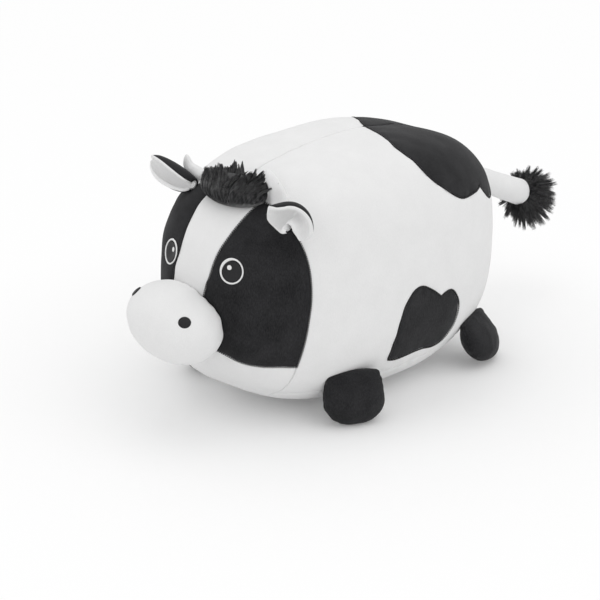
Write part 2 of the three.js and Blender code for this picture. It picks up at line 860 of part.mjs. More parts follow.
// Point of the leaf's middle line, found by walking along it from the root.
function earSpinePoint(leaf, share) {
  const point = new THREE.Vector3();
  for (let step = 0; step < earSpineSteps; step++) {
    const turned = earTurn(leaf, (share * (step + 0.5)) / earSpineSteps);
    point.x += Math.cos(turned);
    point.y += Math.sin(turned);
  }
  point.multiplyScalar((leaf.length * share) / earSpineSteps);
  return point.addScaledVector(zAxis, -earTipForward * share ** 2);
}

// Points of the ear's leaf, which lies outside its middle surface by an offset.
function earGrid(leaf, offset) {
  return earRowShares.map((share) => {
    const curl = earCurl(leaf, share);
    const radius = (leaf.halfWidth * earWidthShare(share)) / curl;
    const turned = earTurn(leaf, share);
    const across = new THREE.Vector3(-Math.sin(turned), Math.cos(turned), 0);
    const points = [];
    for (let step = 0; step <= earStepsAcross; step++) {
      const turn = curl * ((2 * step) / earStepsAcross - 1);
      const reach = Math.max(radius + offset, radius * earInnerShare);
      const point = earSpinePoint(leaf, share).addScaledVector(across, reach * Math.sin(turn));
      points.push(point.addScaledVector(zAxis, reach * Math.cos(turn) - radius));
    }
    return points;
  });
}

function earSheet(leaf, top, bottom) {
  return solidOf(sheetForm(earGrid(leaf, top), earGrid(leaf, bottom)));
}

function earPieces(group, leaf) {
  const nearBody = bodySeenFrom(group, yAxis, [0, earFlopDownAngle / 2, earFlopDownAngle], leaf.body);
  const knob = solidOf(new THREE.SphereGeometry(earRootRadius, limbSides, limbRings));
  const back = earSheet(leaf, seamGap + fabricThickness, seamGap)
    .add(knob)
    .subtract(earSheet(leaf, seamGap, -fabricThickness - seamGap));
  return [
    ["lining", geometryOf(earSheet(leaf, 0, -fabricThickness).subtract(nearBody)), whitePlush],
    ["back", geometryOf(back.subtract(nearBody)), blackPlush],
  ];
}

// Foot: a two-panel pad that hangs from a knuckle in its socket and sweeps back towards its toe

function footForm(inset, topHalfWidth, sweepBack) {
  const curve = new THREE.LineCurve3(
    new THREE.Vector3(0, 0, footKnuckleRadius),
    new THREE.Vector3(0, 0, -footLength),
  );
  const total = footKnuckleRadius + footLength;
  const sizeAt = (share) => {
    const z = footKnuckleRadius - share * total;
    const below = Math.max(-z / footLength, 0);
    const swell = Math.sin(Math.PI * Math.min(below / 1.1, 1) ** 0.9) ** 0.8;
    const roundEnd = Math.max(1 - below ** 4, 0) ** 0.4;
    const knuckle = z > 0 ? Math.sqrt(footKnuckleRadius ** 2 - z ** 2) : footKnuckleRadius;
    const halfWidth = (topHalfWidth + (footHalfWidth - topHalfWidth) * swell) * roundEnd;
    const halfThickness = (knuckle + (footHalfThickness - footKnuckleRadius) * swell) * roundEnd;
    const cornerRound = z > 0 ? Math.sqrt(1 - (z / footKnuckleRadius) ** 4) : 1;
    return [halfWidth * cornerRound, halfThickness];
  };
  const ringShares = [0, 0.03, 0.1, 0.19, 0.34, 0.52, 0.7, 0.85, 0.95, 1];
  const form = tubeForm(curve, sizeAt, xAxis, inset, ringShares);
  const position = form.getAttribute("position");
  for (let i = 0; i < position.count; i++) {
    const below = Math.max(-position.getZ(i) / footLength, 0);
    position.setY(i, position.getY(i) + sweepBack * below ** 2);
  }
  return form;
}

function footPieces(group, topHalfWidth, sweepBack) {
  const seam = yAxis.clone().applyQuaternion(group.quaternion);
  const turns = [0, 1 / 6, 1 / 3, 2 / 3, 1].map((share) => -share * footFoldAngle);
  const nearBody = bodySeenFrom(group, seam, turns);
  const form = (inset) => solidOf(footForm(inset, topHalfWidth, sweepBack));
  const shell = form(0).subtract(form(fabricThickness)).subtract(nearBody);
  const outerHalf = region(halfGap, farWidth, -farWidth, farWidth, -farHeight, farHeight);
  const innerHalf = region(-farWidth, -halfGap, -farWidth, farWidth, -farHeight, farHeight);
  return [
    ["outer_panel", geometryOf(shell.intersect(outerHalf)), blackPlush],
    ["inner_panel", geometryOf(shell.intersect(innerHalf)), blackPlush],
    ["stuffing", geometryOf(form(fabricThickness + seamGap).subtract(nearBody)), fibreFill],
  ];
}

// Tail: a tube from a ball in its socket, with a ball of fur sewn round its end

const tailCurve = new THREE.LineCurve3(new THREE.Vector3(0, -tailRootRadius, 0), new THREE.Vector3(0, tailLength, 0));
const tailRingShares = [0, 0.012, 0.04, 0.08, 0.3, 0.6, 0.88, 0.95, 0.985, 1];

function tailForm(inset) {
  const total = tailLength + tailRootRadius;
  const sizeAt = (share) => {
    const y = share * total - tailRootRadius;
    const grow = tailRootRadius + ((tailEndRadius - tailRootRadius) * Math.max(y, 0)) / tailLength;
    const fromEnd = tailLength - y;
    const rootRound = y < 0 ? Math.sqrt(Math.max(tailRootRadius ** 2 - y ** 2, 0)) : grow;
    const endShare = Math.max(1 - fromEnd / tailEndRadius, 0);
    const radius = rootRound * Math.sqrt(1 - endShare ** 2);
    return [radius, radius];
  };
  return tubeForm(tailCurve, sizeAt, zAxis, inset, tailRingShares);
}

function tailPieces(group) {
  const nearBody = bodySeenFrom(group, zAxis, [0, tailSwingAngle, -tailSwingAngle]);
  const sewnEnd = region(-farWidth, farWidth, -farHeight, -tailRootRadius / 2, -farHeight, farHeight);
  const cover = solidOf(tailForm(0)).subtract(solidOf(tailForm(fabricThickness))).subtract(sewnEnd);
  const tuftMiddle = tailLength + tuftBeyondTail;
  const tuft = new THREE.SphereGeometry(tuftRadius, roundSides, limbSides).translate(0, tuftMiddle, 0);
  return [
    ["cover", geometryOf(cover.subtract(nearBody)), whitePlush],
    ["stuffing", geometryOf(solidOf(tailForm(fabricThickness + seamGap)).subtract(nearBody)), fibreFill],
    ["tuft", geometryOf(solidOf(tuft).subtract(solidOf(tailForm(-seamGap)))), blackFur],
  ];
}

// Assembly

const cow = new THREE.Group();
const body = new THREE.Group();
body.position.z = bodyHalfHeight - restFlatDepth;
cow.add(body);

body.add(
  piece("body_stuffing", geometryOf(bodyStuffing()), fibreFill),
  piece("left_side_panel", geometryOf(sidePanel(1)), whitePlush),
  piece("right_side_panel", mirrored(geometryOf(sidePanel(-1))), whitePlush),
  piece("face_panel", geometryOf(facePanel()), whitePlush),
  piece("belly_panel", geometryOf(bellyPanel()), whitePlush),
  piece("left_cheek_patch", geometryOf(cheekPatch(1)), blackPlush),
  piece("right_cheek_patch", mirrored(geometryOf(cheekPatch(-1))), blackPlush),
  piece("left_flank_patch", geometryOf(flankPatch()), blackPlush),
  piece("right_flank_patch", mirrored(geometryOf(flankPatch())), blackPlush),
  piece("left_back_patch", geometryOf(backPatch(1)), blackPlush),
  piece("right_back_patch", mirrored(geometryOf(backPatch(-1))), blackPlush),
  piece("muzzle_cover", geometryOf(muzzleCover), whitePlush),
  piece("muzzle_stuffing", geometryOf(muzzleStuffing), fibreFill),
  piece("left_nostril", geometryOf(nostril(1)), blackThread),
  piece("right_nostril", geometryOf(nostril(-1)), blackThread),
  piece("forelock", geometryOf(forelockForm()), blackFur),
);

const sideNames = [
  ["left", 1],
  ["right", -1],
];

for (const [sideName, side] of sideNames) {
  const handed = (geometry) => (side > 0 ? geometry : mirrored(geometry));

  // A limb's group on the left, and the group that holds its pieces on this side.
  const limbGroups = (place, turnX, turnY, turnZ) => {
    const left = new THREE.Group();
    left.position.copy(place.pivot);
    left.rotation.set(turnX * degree, turnY * degree, turnZ * degree, "ZYX");
    const own = new THREE.Group();
    own.position.set(side * place.pivot.x, place.pivot.y, place.pivot.z);
    own.rotation.set(turnX * degree, side * turnY * degree, side * turnZ * degree, "ZYX");
    body.add(own);
    return [left, own];
  };

  body.add(
    piece(`${sideName}_eye_ring`, handed(geometryOf(eyeRing)), whiteThread),
    piece(`${sideName}_eye_pupil`, handed(geometryOf(eyePupil)), darkThread),
    piece(`${sideName}_eye_glint`, handed(geometryOf(eyeGlint)), whiteThread),
  );
  for (const [name, geometry, look] of hornPieces(side > 0 ? leftHornCurve : rightHornCurve)) {
    body.add(piece(`${sideName}_horn_${name}`, handed(geometry), look));
  }

  const leaf = side > 0 ? leftEarLeaf : rightEarLeaf;
  const [leftEar, ear] = limbGroups(leaf.root, -leaf.opening, leaf.droop, leaf.heading);
  for (const [name, geometry, look] of earPieces(leftEar, leaf)) {
    ear.add(piece(`${sideName}_ear_${name}`, handed(geometry), look));
  }

  const feet = [
    ["front", frontFoot, footFrontSplayAngle, footFrontHeadingAngle, footFrontTopHalfWidth, footFrontSweepBack],
    ["rear", rearFoot, footRearSplayAngle, footRearHeadingAngle, footRearTopHalfWidth, footRearSweepBack],
  ];
  for (const [endName, place, splay, heading, topHalfWidth, sweepBack] of feet) {
    const [leftFoot, foot] = limbGroups(place, 0, -splay, heading);
    for (const [name, geometry, look] of footPieces(leftFoot, topHalfWidth, sweepBack)) {
      foot.add(piece(`${sideName}_${endName}_foot_${name}`, handed(geometry), look));
    }
  }
}

const tail = new THREE.Group();
tail.position.copy(tailRoot.pivot);
tail.rotation.x = -tailDroopAngle * degree;
for (const [name, geometry, look] of tailPieces(tail)) {
  tail.add(piece(`tail_${name}`, geometry, look));
}
body.add(tail);

export default cow;
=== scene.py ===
# Looks of the plush cow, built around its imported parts.
# Lengths here are in millimetres and become metres when a mesh is made. The nose points to -Y and up is +Z.
import math

import bpy
import numpy as np
from mathutils import Matrix, Vector
from mathutils.geometry import delaunay_2d_cdt
from mathutils.kdtree import KDTree


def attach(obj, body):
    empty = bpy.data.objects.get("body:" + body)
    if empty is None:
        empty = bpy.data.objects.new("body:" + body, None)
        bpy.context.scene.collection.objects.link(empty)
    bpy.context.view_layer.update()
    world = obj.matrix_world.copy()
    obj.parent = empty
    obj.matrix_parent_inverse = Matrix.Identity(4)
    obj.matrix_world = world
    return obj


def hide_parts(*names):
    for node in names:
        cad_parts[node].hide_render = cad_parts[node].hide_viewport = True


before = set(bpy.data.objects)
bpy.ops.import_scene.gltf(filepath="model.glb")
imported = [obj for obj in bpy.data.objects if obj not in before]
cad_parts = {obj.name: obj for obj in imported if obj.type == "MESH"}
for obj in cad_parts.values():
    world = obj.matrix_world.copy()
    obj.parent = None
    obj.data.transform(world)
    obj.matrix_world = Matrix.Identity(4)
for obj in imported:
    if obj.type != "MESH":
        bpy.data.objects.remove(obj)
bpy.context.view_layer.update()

MM = 0.001
TURN = 2 * math.pi
HANDS = (("left", 1), ("right", -1))

# Body form
HALF_WIDTH, HALF_HEIGHT = 114.0, 125.0
FRONT_LENGTH, REAR_LENGTH = 196.0, 191.0
FRONT_FULLNESS, REAR_FULLNESS = 2.6, 2.48
REST_FLAT_DEPTH = 0.5
FACE_SEAM, BELLY_SEAM = -145.0, -92.0
CENTRE = np.array([0.0, 0.0, HALF_HEIGHT - REST_FLAT_DEPTH])
FLOOR = -CENTRE[2]

# Fabric
PANEL_THICKNESS = 1.5
SEAM_DEPTH, SEAM_WIDTH, SEAM_GAP, SEAM_SAMPLE_REACH = 0.9, 3.4, 0.12, 0.6
CREASE_DEPTH, CREASE_REACH = 0.25, 0.6
PULL_DEPTH, PULL_REACH = 0.55, 11
PUCKER_DEPTH, PUCKER_START, PUCKER_REACH = 0.42, 1.5, 8
PANEL_SHARP, LIMB_SHARP = 70, 60
BODY_INSET, MUZZLE_INSET, LIMB_INSET = 3.2, 2.0, 2.2


# Numbers and directions

def unit_of(vectors, least=0.0):
    """The vectors made one long. The least length is added where a vector may be nought."""
    return vectors / (np.linalg.norm(vectors, axis=-1, keepdims=True) + least)


def turns(count):
    """Angles spaced evenly round a full turn."""
    return np.arange(count) * TURN / count


def together(*parts):
    """Points from their coordinates, each an array or a single number."""
    return np.stack(np.broadcast_arrays(*parts), -1)


def ball_units(tilt, turn):
    """Unit vectors tilted from the front by one angle and turned round it by the other."""
    return together(np.sin(tilt) * np.cos(turn), -np.cos(tilt), np.sin(tilt) * np.sin(turn))


def directions_on(normal):
    """The directions across and up a face with that normal."""
    across = unit_of(np.cross((0, 0, 1.0), normal))
    return across, np.cross(normal, across)


def between(at, places, rows):
    """The rows at those places, which lie between the places of the given rows."""
    return np.stack([np.interp(at, places, column) for column in rows.T], -1)


def farthest(holds, count, limit, steps):
    """How far along each of a count of lines a condition holds, before the limit."""
    near, far = np.zeros(count), np.full(count, limit)
    for _ in range(steps):
        middle = (near + far) / 2
        kept = holds(middle)
        near, far = np.where(kept, middle, near), np.where(kept, far, middle)
    return near


def smooth_step(low, high, value):
    t = np.clip((value - low) / (high - low), 0, 1)
    return t * t * (3 - 2 * t)


# Points on the body

def fullness(y):
    ahead = y < 0
    return np.where(ahead, FRONT_LENGTH, REAR_LENGTH), np.where(ahead, FRONT_FULLNESS, REAR_FULLNESS)


def body_measure(p):
    length, n = fullness(p[..., 1])
    section = np.abs(p[..., 0] / HALF_WIDTH) ** 3 + np.abs(p[..., 2] / HALF_HEIGHT) ** 3
    return section ** (n / 3) + np.abs(p[..., 1] / length) ** n, n


def to_body(p):
    value, n = body_measure(p)
    return p * (value ** (-1 / n))[..., None]


def body_normal(p):
    length, n = fullness(p[..., 1])
    sx, sz = np.abs(p[..., 0] / HALF_WIDTH), np.abs(p[..., 2] / HALF_HEIGHT)
    k = (sx ** 3 + sz ** 3 + 1e-9) ** (n / 3 - 1)
    sign = np.sign(p)
    return unit_of(together(
        k * sx ** 2 * sign[..., 0] / HALF_WIDTH,
        np.abs(p[..., 1] / length) ** (n - 1) * sign[..., 1] / length,
        k * sz ** 2 * sign[..., 2] / HALF_HEIGHT,
    ))


def raised(p, height):
    """Points of the body moved out along its normals."""
    return p + body_normal(p) * height


# The half of the body with x above zero, laid flat as a disc round its side
CHART_LENGTH, CHART_HEIGHT = 193.0, 125.0


def to_chart(p):
    length, _ = fullness(p[..., 1])
    q = np.stack([p[..., 0] / HALF_WIDTH, p[..., 1] / length, p[..., 2] / HALF_HEIGHT], -1)
    theta = np.arccos(np.clip(q[..., 0] / np.linalg.norm(q, axis=-1), -1, 1))
    phi = np.arctan2(q[..., 2], q[..., 1])
    return np.stack([theta * np.cos(phi) * CHART_LENGTH, theta * np.sin(phi) * CHART_HEIGHT], -1)


def from_chart(c):
    a, b = c[..., 0] / CHART_LENGTH, c[..., 1] / CHART_HEIGHT
    theta, phi = np.hypot(a, b), np.arctan2(b, a)
    y = np.sin(theta) * np.cos(phi)
    x, z = HALF_WIDTH * np.cos(theta), HALF_HEIGHT * np.sin(theta) * np.sin(phi)
    return to_body(together(x, y * fullness(y)[0], z))


# Lines on the body

def spline(points, steps):
    """A smooth line through the points, which may have two or three coordinates."""
    p = np.array(points, float)
    p = np.vstack([p[:1], p, p[-1:]])
    made = []
    for i in range(len(p) - 3):
        a, b, c, d = p[i:i + 4]
        v, w = (c - a) / 2, (d - b) / 2
        t = (np.arange(steps) / steps)[:, None]
        made.append((2 * b - 2 * c + v + w) * t ** 3 + (3 * c - 3 * b - 2 * v - w) * t ** 2 + v * t + b)
    return np.vstack([*made, p[-1:]])


def resampled(points, spacing, closed=False):
    """The line with points a near-equal spacing apart, its two ends kept."""
    p = np.vstack([points, points[:1]]) if closed else points
    along = np.concatenate([[0], np.cumsum(np.linalg.norm(np.diff(p, axis=0), axis=1))])
    count = max(2, round(along[-1] / spacing) + 1)
    q = between(np.linspace(0, along[-1], count), along, p)
    return q[:-1] if closed else q


def inside(points, outline):
    """Whether each point of a plane lies within a closed outline."""
    x, y = points[:, 0], points[:, 1]
    found = np.zeros(len(points), bool)
    for (ax, ay), (bx, by) in zip(outline, np.roll(outline, -1, axis=0)):
        spans = (ay > y) != (by > y)
        if ay != by:
            found ^= spans & (x < (bx - ax) * (y - ay) / (by - ay) + ax)
    return found


BLAZE = [(.18, -.33), (.19, .14), (.206, .25), (.206, .36), (.215, .47), (.237, .56), (.256, .66), (.268, .74),
         (.29, .86), (.31, 1.1)]
CHEEK_LOWER = [(.22, -.33), (.32, -.365), (.42, -.4), (.54, -.42), (.67, -.428), (.78, -.445), (1.2, -.47)]
CHEEK_REAR = [(-.742, -.48), (-.728, -.31), (-.71, -.13), (-.695, .06), (-.693, .26), (-.7, .42), (-.712, .55),
              (-.724, .7), (-.724, 1.2)]
FLANK_UPPER = [(.17, .25), (.04, .38), (-.11, .49), (-.24, .48), (-.36, .3), (-.45, -.04), (-.5, -.4)]
FLANK_LOWER = [(-.5, -.4), (-.33, -.45), (0, -.45), (.2, -.5), (.36, -.46), (.48, -.3), (.5, -.04), (.43, .16),
               (.32, .28), (.17, .25)]
BACK_FRONT = {
    1: [(.235, 1.2), (.225, .74), (.17, .54), (.105, .32), (.125, .15), (.17, -.02), (.25, -.13), (.37, -.225),
        (.53, -.2), (.605, -.16)],
    -1: [(.235, 1.2), (.235, .74), (.33, .54), (.44, .32), (.43, .15), (.38, -.02), (.35, -.13), (.42, -.2),
         (.53, -.2), (.605, -.16)],
}
BACK_REAR = [(.605, -.16), (.66, -.21), (.73, -.235), (.8, -.18), (.86, -.04), (.91, .16), (.93, .4), (.94, 1.2)]
BLAZE_LEAN, BLAZE_LEAN_HEIGHT = 0.17, 62.0
FLANK_LENGTH, FLANK_HEIGHT, FLANK_MIDDLE = 104.0, 76.0, (15.0, -45.0)
OUTLINE_STEPS = 40
UP_SLOPE = np.array([-1.0, 0.0, 1.0]) / math.sqrt(2)
OUT_SLOPE = np.array([1.0, 0.0, 1.0]) / math.sqrt(2)


def drawn(shares, *size, middle=(0, 0)):
    """A smooth line whose points are shares of a size from the middle."""
    return spline(np.array(shares) * size + middle, OUTLINE_STEPS)


def outlines_of(side):
    """The cheek patch seen from the front and its rear edge, the flank patch and the back patch."""
    blaze = np.array(BLAZE) * (HALF_WIDTH, HALF_HEIGHT)
    blaze[:, 0] += side * BLAZE_LEAN * (blaze[:, 1] - BLAZE_LEAN_HEIGHT)
    cheek = np.vstack([spline(blaze[::-1], OUTLINE_STEPS), drawn(CHEEK_LOWER, HALF_WIDTH, HALF_HEIGHT)])
    rear = drawn(CHEEK_REAR, FRONT_LENGTH, HALF_HEIGHT)
    flank = [drawn(part, FLANK_LENGTH, FLANK_HEIGHT, middle=FLANK_MIDDLE)[:-1] for part in (FLANK_UPPER, FLANK_LOWER)]
    back = drawn(BACK_FRONT[side], REAR_LENGTH, HALF_HEIGHT)[:-1], drawn(BACK_REAR, REAR_LENGTH, HALF_HEIGHT)
    return cheek, rear, np.vstack(flank), np.vstack(back)


def from_front(xz):
    """The front of the body where x and z are given, with which of the points are on it."""
    section = np.abs(xz[:, 0] / HALF_WIDTH) ** 3 + np.abs(xz[:, 1] / HALF_HEIGHT) ** 3
    rest = np.clip(1 - section ** (FRONT_FULLNESS / 3), 0, 1)
    y = -FRONT_LENGTH * rest ** (1 / FRONT_FULLNESS)
    return np.stack([xz[:, 0], y, xz[:, 1]], -1), section < 1


def from_side(yz):
    """The side of the body where y and z are given, with which of the points are on it."""
    length, n = fullness(yz[:, 0])
    section = np.clip(1 - np.abs(yz[:, 0] / length) ** n, 0, 1) ** (3 / n)
    rest = section - np.abs(yz[:, 1] / HALF_HEIGHT) ** 3
    return np.stack([HALF_WIDTH * np.clip(rest, 0, 1) ** (1 / 3), yz[:, 0], yz[:, 1]], -1), rest > 0


def from_slope(yv):
    """The body's face seen from half way up the side, where y and the height up the slope are given."""
    start = np.outer(yv[:, 1], UP_SLOPE)
    start[:, 1] += yv[:, 0]
    reach = farthest(lambda d: body_measure(start + d[:, None] * OUT_SLOPE)[0] < 1, len(yv), 400.0, 50)
    return start + reach[:, None] * OUT_SLOPE


def closed_ahead(rear):
    """The cheek's rear edge, closed round in front of the body, as y and z."""
    ahead = -FRONT_LENGTH - 40
    return np.vstack([rear, [[ahead, rear[-1, 1]], [ahead, rear[0, 1]]]])


def closed_outside(front):
    """The cheek's outline seen from the front, closed on its outer side, as x and z."""
    return np.vstack([front, [[front[-1, 0], front[0, 1]]]])


def label_of(p, side, outlines):
    """The name of the panel or patch that each point of the half body lies in."""
    front, rear, flank, back = outlines
    hand = "left_" if side > 0 else "right_"
    names = np.where(p[:, 2] < BELLY_SEAM, "belly_panel", hand + "side_panel").astype("U24")
    names[p[:, 1] < FACE_SEAM] = "face_panel"
    slope = np.stack([p[:, 1], p @ UP_SLOPE], -1)
    names[inside(slope, back) & (p @ OUT_SLOPE > 0)] = hand + "back_patch"
    names[inside(p[:, [1, 2]], flank)] = hand + "flank_patch"
    cheek = inside(p[:, [0, 2]], closed_outside(front)) & inside(p[:, [1, 2]], closed_ahead(rear))
    names[cheek & (p[:, 1] < 0)] = hand + "cheek_patch"
    return names


# Spacing of the points of the body's mesh
LINE_SPACING, RIM_SPACING, GRID_SPACING = 2.2, 3.2, 4.6
RING_OFFSETS = (0.7, 1.6, 3.0)
CHART_MARGIN = 1.6


def body_lines(outlines):
    """The seams and outlines on the half body, and the places where they meet its middle plane."""
    front, rear, flank, back = outlines
    turn = np.linspace(math.pi / 2, -math.pi / 2, 700)
    section = (1 - abs(FACE_SEAM / FRONT_LENGTH) ** FRONT_FULLNESS) ** (3 / FRONT_FULLNESS)
    c, s = np.abs(np.cos(turn)), np.sin(turn)
    reach = ((c ** 3 + np.abs(s) ** 3) / section) ** (-1 / 3)
    seam = together(HALF_WIDTH * c * reach, FACE_SEAM, HALF_HEIGHT * s * reach)
    seam[[0, -1], 0] = 0
    last = REAR_LENGTH * (1 - abs(BELLY_SEAM / HALF_HEIGHT) ** REAR_FULLNESS) ** (1 / REAR_FULLNESS)
    y = FACE_SEAM + (last - FACE_SEAM) * np.sin(np.linspace(0, math.pi / 2, 900))
    belly, _ = from_side(together(y, BELLY_SEAM))
    belly[-1] = (0, last, BELLY_SEAM)
    lines, ends = [seam, belly], [seam[0], seam[-1], belly[-1]]
    for (edge, real), axes, outline in (
        (from_front(front), [1, 2], closed_ahead(rear)),
        (from_side(rear), [0, 2], closed_outside(front)),
    ):
        real = real & inside(edge[:, axes], outline)
        lines.append(edge[np.convolve(real, [1, 1, 1], "same") > 0])
    flank_line, _ = from_side(flank)
    lines.append(np.vstack([flank_line, flank_line[:1]]))
    back_line = from_slope(back)
    first, final = np.flatnonzero(back_line[:, 0] > 0)[[0, -1]]
    meets = []
    for a, b in ((back_line[first - 1], back_line[first]), (back_line[final + 1], back_line[final])):
        share = a[0] / (a[0] - b[0])
        meet = to_body((a + (b - a) * share)[None])[0]
        meet[0] = 0
        meets.append(meet)
    lines.append(np.vstack([meets[0], back_line[first:final + 1], meets[1]]))
    return [resampled(line, LINE_SPACING) for line in lines], ends + meets


def rim_points(ends):
    """Points round the body's middle plane, with the seams' ends among them."""
    turn = np.linspace(0, TURN, 4000, endpoint=False)
    y, z = np.cos(turn), np.sin(turn)
    even = resampled(to_body(together(0.0, y * fullness(y)[0], z * HALF_HEIGHT)), RIM_SPACING, closed=True)
    ends = np.array(ends)
    even = even[np.min(np.linalg.norm(even[:, None] - ends[None], axis=2), axis=1) > RIM_SPACING * 0.45]
    rim = np.vstack([even, ends])
    return rim[np.argsort(np.arctan2(rim[:, 2], rim[:, 1]))]


def tree_of(points):
    tree = KDTree(len(points))
    for i, p in enumerate(points):
        tree.insert(p, i)
    tree.balance()
    return tree


def half_body(side):
    """Points, triangles and the triangles' labels of the half body, drawn as if it were the left."""
    outlines = outlines_of(side)
    lines, ends = body_lines(outlines)
    rim = rim_points(ends)
    fixed, edges = [], []
    for line in [*lines, np.vstack([rim, rim[:1]])]:
        start = sum(len(f) for f in fixed)
        fixed.append(line)
        edges += [(start + i, start + i + 1) for i in range(len(line) - 1)]
    on_lines = np.vstack(fixed)
    tree = tree_of(on_lines)
    rings = []
    for line in [*lines, rim]:
        across = unit_of(np.cross(body_normal(line), np.gradient(line, axis=0)), 1e-9)
        for offset in RING_OFFSETS:
            for way in (-1, 1):
                q = to_body(line + across * offset * way)
                rings.append(q[[d for d in range(len(q)) if q[d, 0] > 0.4 and tree.find(q[d])[2] > offset * 0.8]])
    rows = []
    reach = CHART_HEIGHT * CHART_MARGIN
    for row, v in enumerate(np.arange(-reach, reach, GRID_SPACING * math.sqrt(0.75))):
        u = np.arange(-CHART_LENGTH * CHART_MARGIN, CHART_LENGTH * CHART_MARGIN, GRID_SPACING)
        rows.append(together(u + (row % 2) * GRID_SPACING / 2, v))
    grid = np.vstack(rows)
    grid = grid[np.hypot(grid[:, 0] / CHART_LENGTH, grid[:, 1] / CHART_HEIGHT) < math.pi / 2 - 0.01]
    free = [tree.find(p)[2] > RING_OFFSETS[-1] + 1.4 for p in from_chart(grid)]
    chart = np.vstack([to_chart(on_lines), to_chart(np.vstack(rings)), grid[free]])
    made = delaunay_2d_cdt([Vector(c) for c in chart], edges, [], 0, 1e-4)
    flat = np.array([tuple(v) for v in made[0]])
    triangles = np.array([f for f in made[2] if len(f) == 3])
    points = from_chart(flat)
    points[np.hypot(flat[:, 0] / CHART_LENGTH, flat[:, 1] / CHART_HEIGHT) > math.pi / 2 - 1e-4, 0] = 0
    middles = from_chart(flat[triangles].mean(1))
    return points, triangles, label_of(middles, side, outlines), lines


def trimmed(triangles):
    """The numbers of the points in use, and the triangles numbered by them alone."""
    used, index = np.unique(triangles, return_inverse=True)
    return used, index.reshape(triangles.shape)


# Smooth random fields

def waves(seed, length, count=28):
    """A smooth random field with bumps of about that length, mostly between -1 and 1."""
    rng = np.random.default_rng(seed)
    k = unit_of(rng.normal(size=(count, 3))) * (TURN / length * rng.uniform(0.6, 1.5, (count, 1)))
    phase = rng.uniform(0, TURN, count)
    return lambda p: np.sin(p @ k.T + phase).sum(-1) / math.sqrt(count / 2)


wide_bumps, small_bumps, pucker_bumps = waves(3, 120), waves(4, 34), waves(5, 17)


# Making meshes

def mesh_object(name, points, faces, sharp=None):
    mesh = bpy.data.meshes.new(name)
    mesh.from_pydata((np.asarray(points) * MM).tolist(), [], [list(map(int, f)) for f in faces])
    mesh.validate()
    mesh.update()
    made = bpy.data.objects.new(name, mesh)
    bpy.context.scene.collection.objects.link(made)
    mesh.shade_smooth()
    if sharp:
        mesh.set_sharp_from_angle(angle=math.radians(sharp))
    return made


def shell(points, normals, triangles, thickness):
    """The points and triangles of a closed sheet whose outer face is the given one."""
    count = len(points)
    both = np.vstack([points, points - normals * thickness])
    edges = {}
    for a, b, c in triangles:
        for e in ((a, b), (b, c), (c, a)):
            if (e[1], e[0]) in edges:
                del edges[(e[1], e[0])]
            else:
                edges[e] = True
    walls = []
    for a, b in edges:
        walls += [(b, a, a + count), (b, a + count, b + count)]
    inner = triangles[:, ::-1] + count
    return both, np.vstack([triangles, inner, np.array(walls)])


def joined(*meshes):
    """One list of points and one of faces from several."""
    points, faces, start = [], [], 0
    for p, f in meshes:
        points.append(p)
        faces += [tuple(i + start for i in face) for face in f]
        start += len(p)
    return np.vstack(points), faces


def grid_faces(rows, columns, closed=True):
    """Quads of a grid of points, row by row, joined round when it is closed."""
    faces = []
    for r in range(rows - 1):
        for c in range(columns if closed else columns - 1):
            d = (c + 1) % columns
            faces.append((r * columns + c, r * columns + d, (r + 1) * columns + d, (r + 1) * columns + c))
    return faces


def halves(quads):
    """Each quad as two triangles."""
    return [half for a, b, c, d in quads for half in ((a, b, c), (a, c, d))]


def closed_rings(start, rings, end):
    """A closed surface through rings of points with a point at each end."""
    rows, columns = rings.shape[:2]
    points = np.vstack([[start], rings.reshape(-1, 3), [end]])
    faces = [tuple(i + 1 for i in f) for f in grid_faces(rows, columns)]
    last = len(points) - 1
    for c in range(columns):
        d = (c + 1) % columns
        faces.append((0, d + 1, c + 1))
        faces.append((last, 1 + (rows - 1) * columns + c, 1 + (rows - 1) * columns + d))
    return points, faces

# Materials

def new_material(name, colour, roughness, sheen=0.0, sheen_roughness=0.4):
    """A material with its node tree, its shader and its object coordinates."""
    made = bpy.data.materials.new(name)
    made.use_nodes = True
    tree = made.node_tree
    shader = tree.nodes["Principled BSDF"]
    for entry, value in (
        ("Base Color", (*colour, 1)), ("Roughness", roughness), ("Specular IOR Level", 0.25),
        ("Sheen Weight", sheen), ("Sheen Roughness", sheen_roughness),
    ):
        shader.inputs[entry].default_value = value
    return made, tree, shader, tree.nodes.new("ShaderNodeTexCoord").outputs["Object"]


def calculated(tree, operation, *values):
    """The outcome of a calculation whose values are numbers or other nodes' outputs."""
    node = tree.nodes.new("ShaderNodeMath")
    node.operation = operation
    for entry, value in zip(node.inputs, values):
        if isinstance(value, float):
            entry.default_value = value
        else:
            tree.links.new(value, entry)
    return node.outputs[0]


def noise_node(tree, coordinates, scale, detail=3.0, roughness=0.6, stretch=None):
    if stretch:
        mapping = tree.nodes.new("ShaderNodeMapping")
        mapping.inputs["Scale"].default_value = stretch
        tree.links.new(coordinates, mapping.inputs["Vector"])
        coordinates = mapping.outputs["Vector"]
    node = tree.nodes.new("ShaderNodeTexNoise")
    for entry, value in (("Scale", scale), ("Detail", detail), ("Roughness", roughness)):
        node.inputs[entry].default_value = value
    tree.links.new(coordinates, node.inputs["Vector"])
    return node.outputs["Fac"]


def coloured(tree, shader, factor, low, high, start=0.35, end=0.65):
    """Gives the shader a colour between two, as the factor goes from start to end."""
    ramp = tree.nodes.new("ShaderNodeValToRGB")
    first, last = ramp.color_ramp.elements[0], ramp.color_ramp.elements[1]
    first.position, first.color = start, (*low, 1)
    last.position, last.color = end, (*high, 1)
    tree.links.new(factor, ramp.inputs["Fac"])
    tree.links.new(ramp.outputs["Color"], shader.inputs["Base Color"])


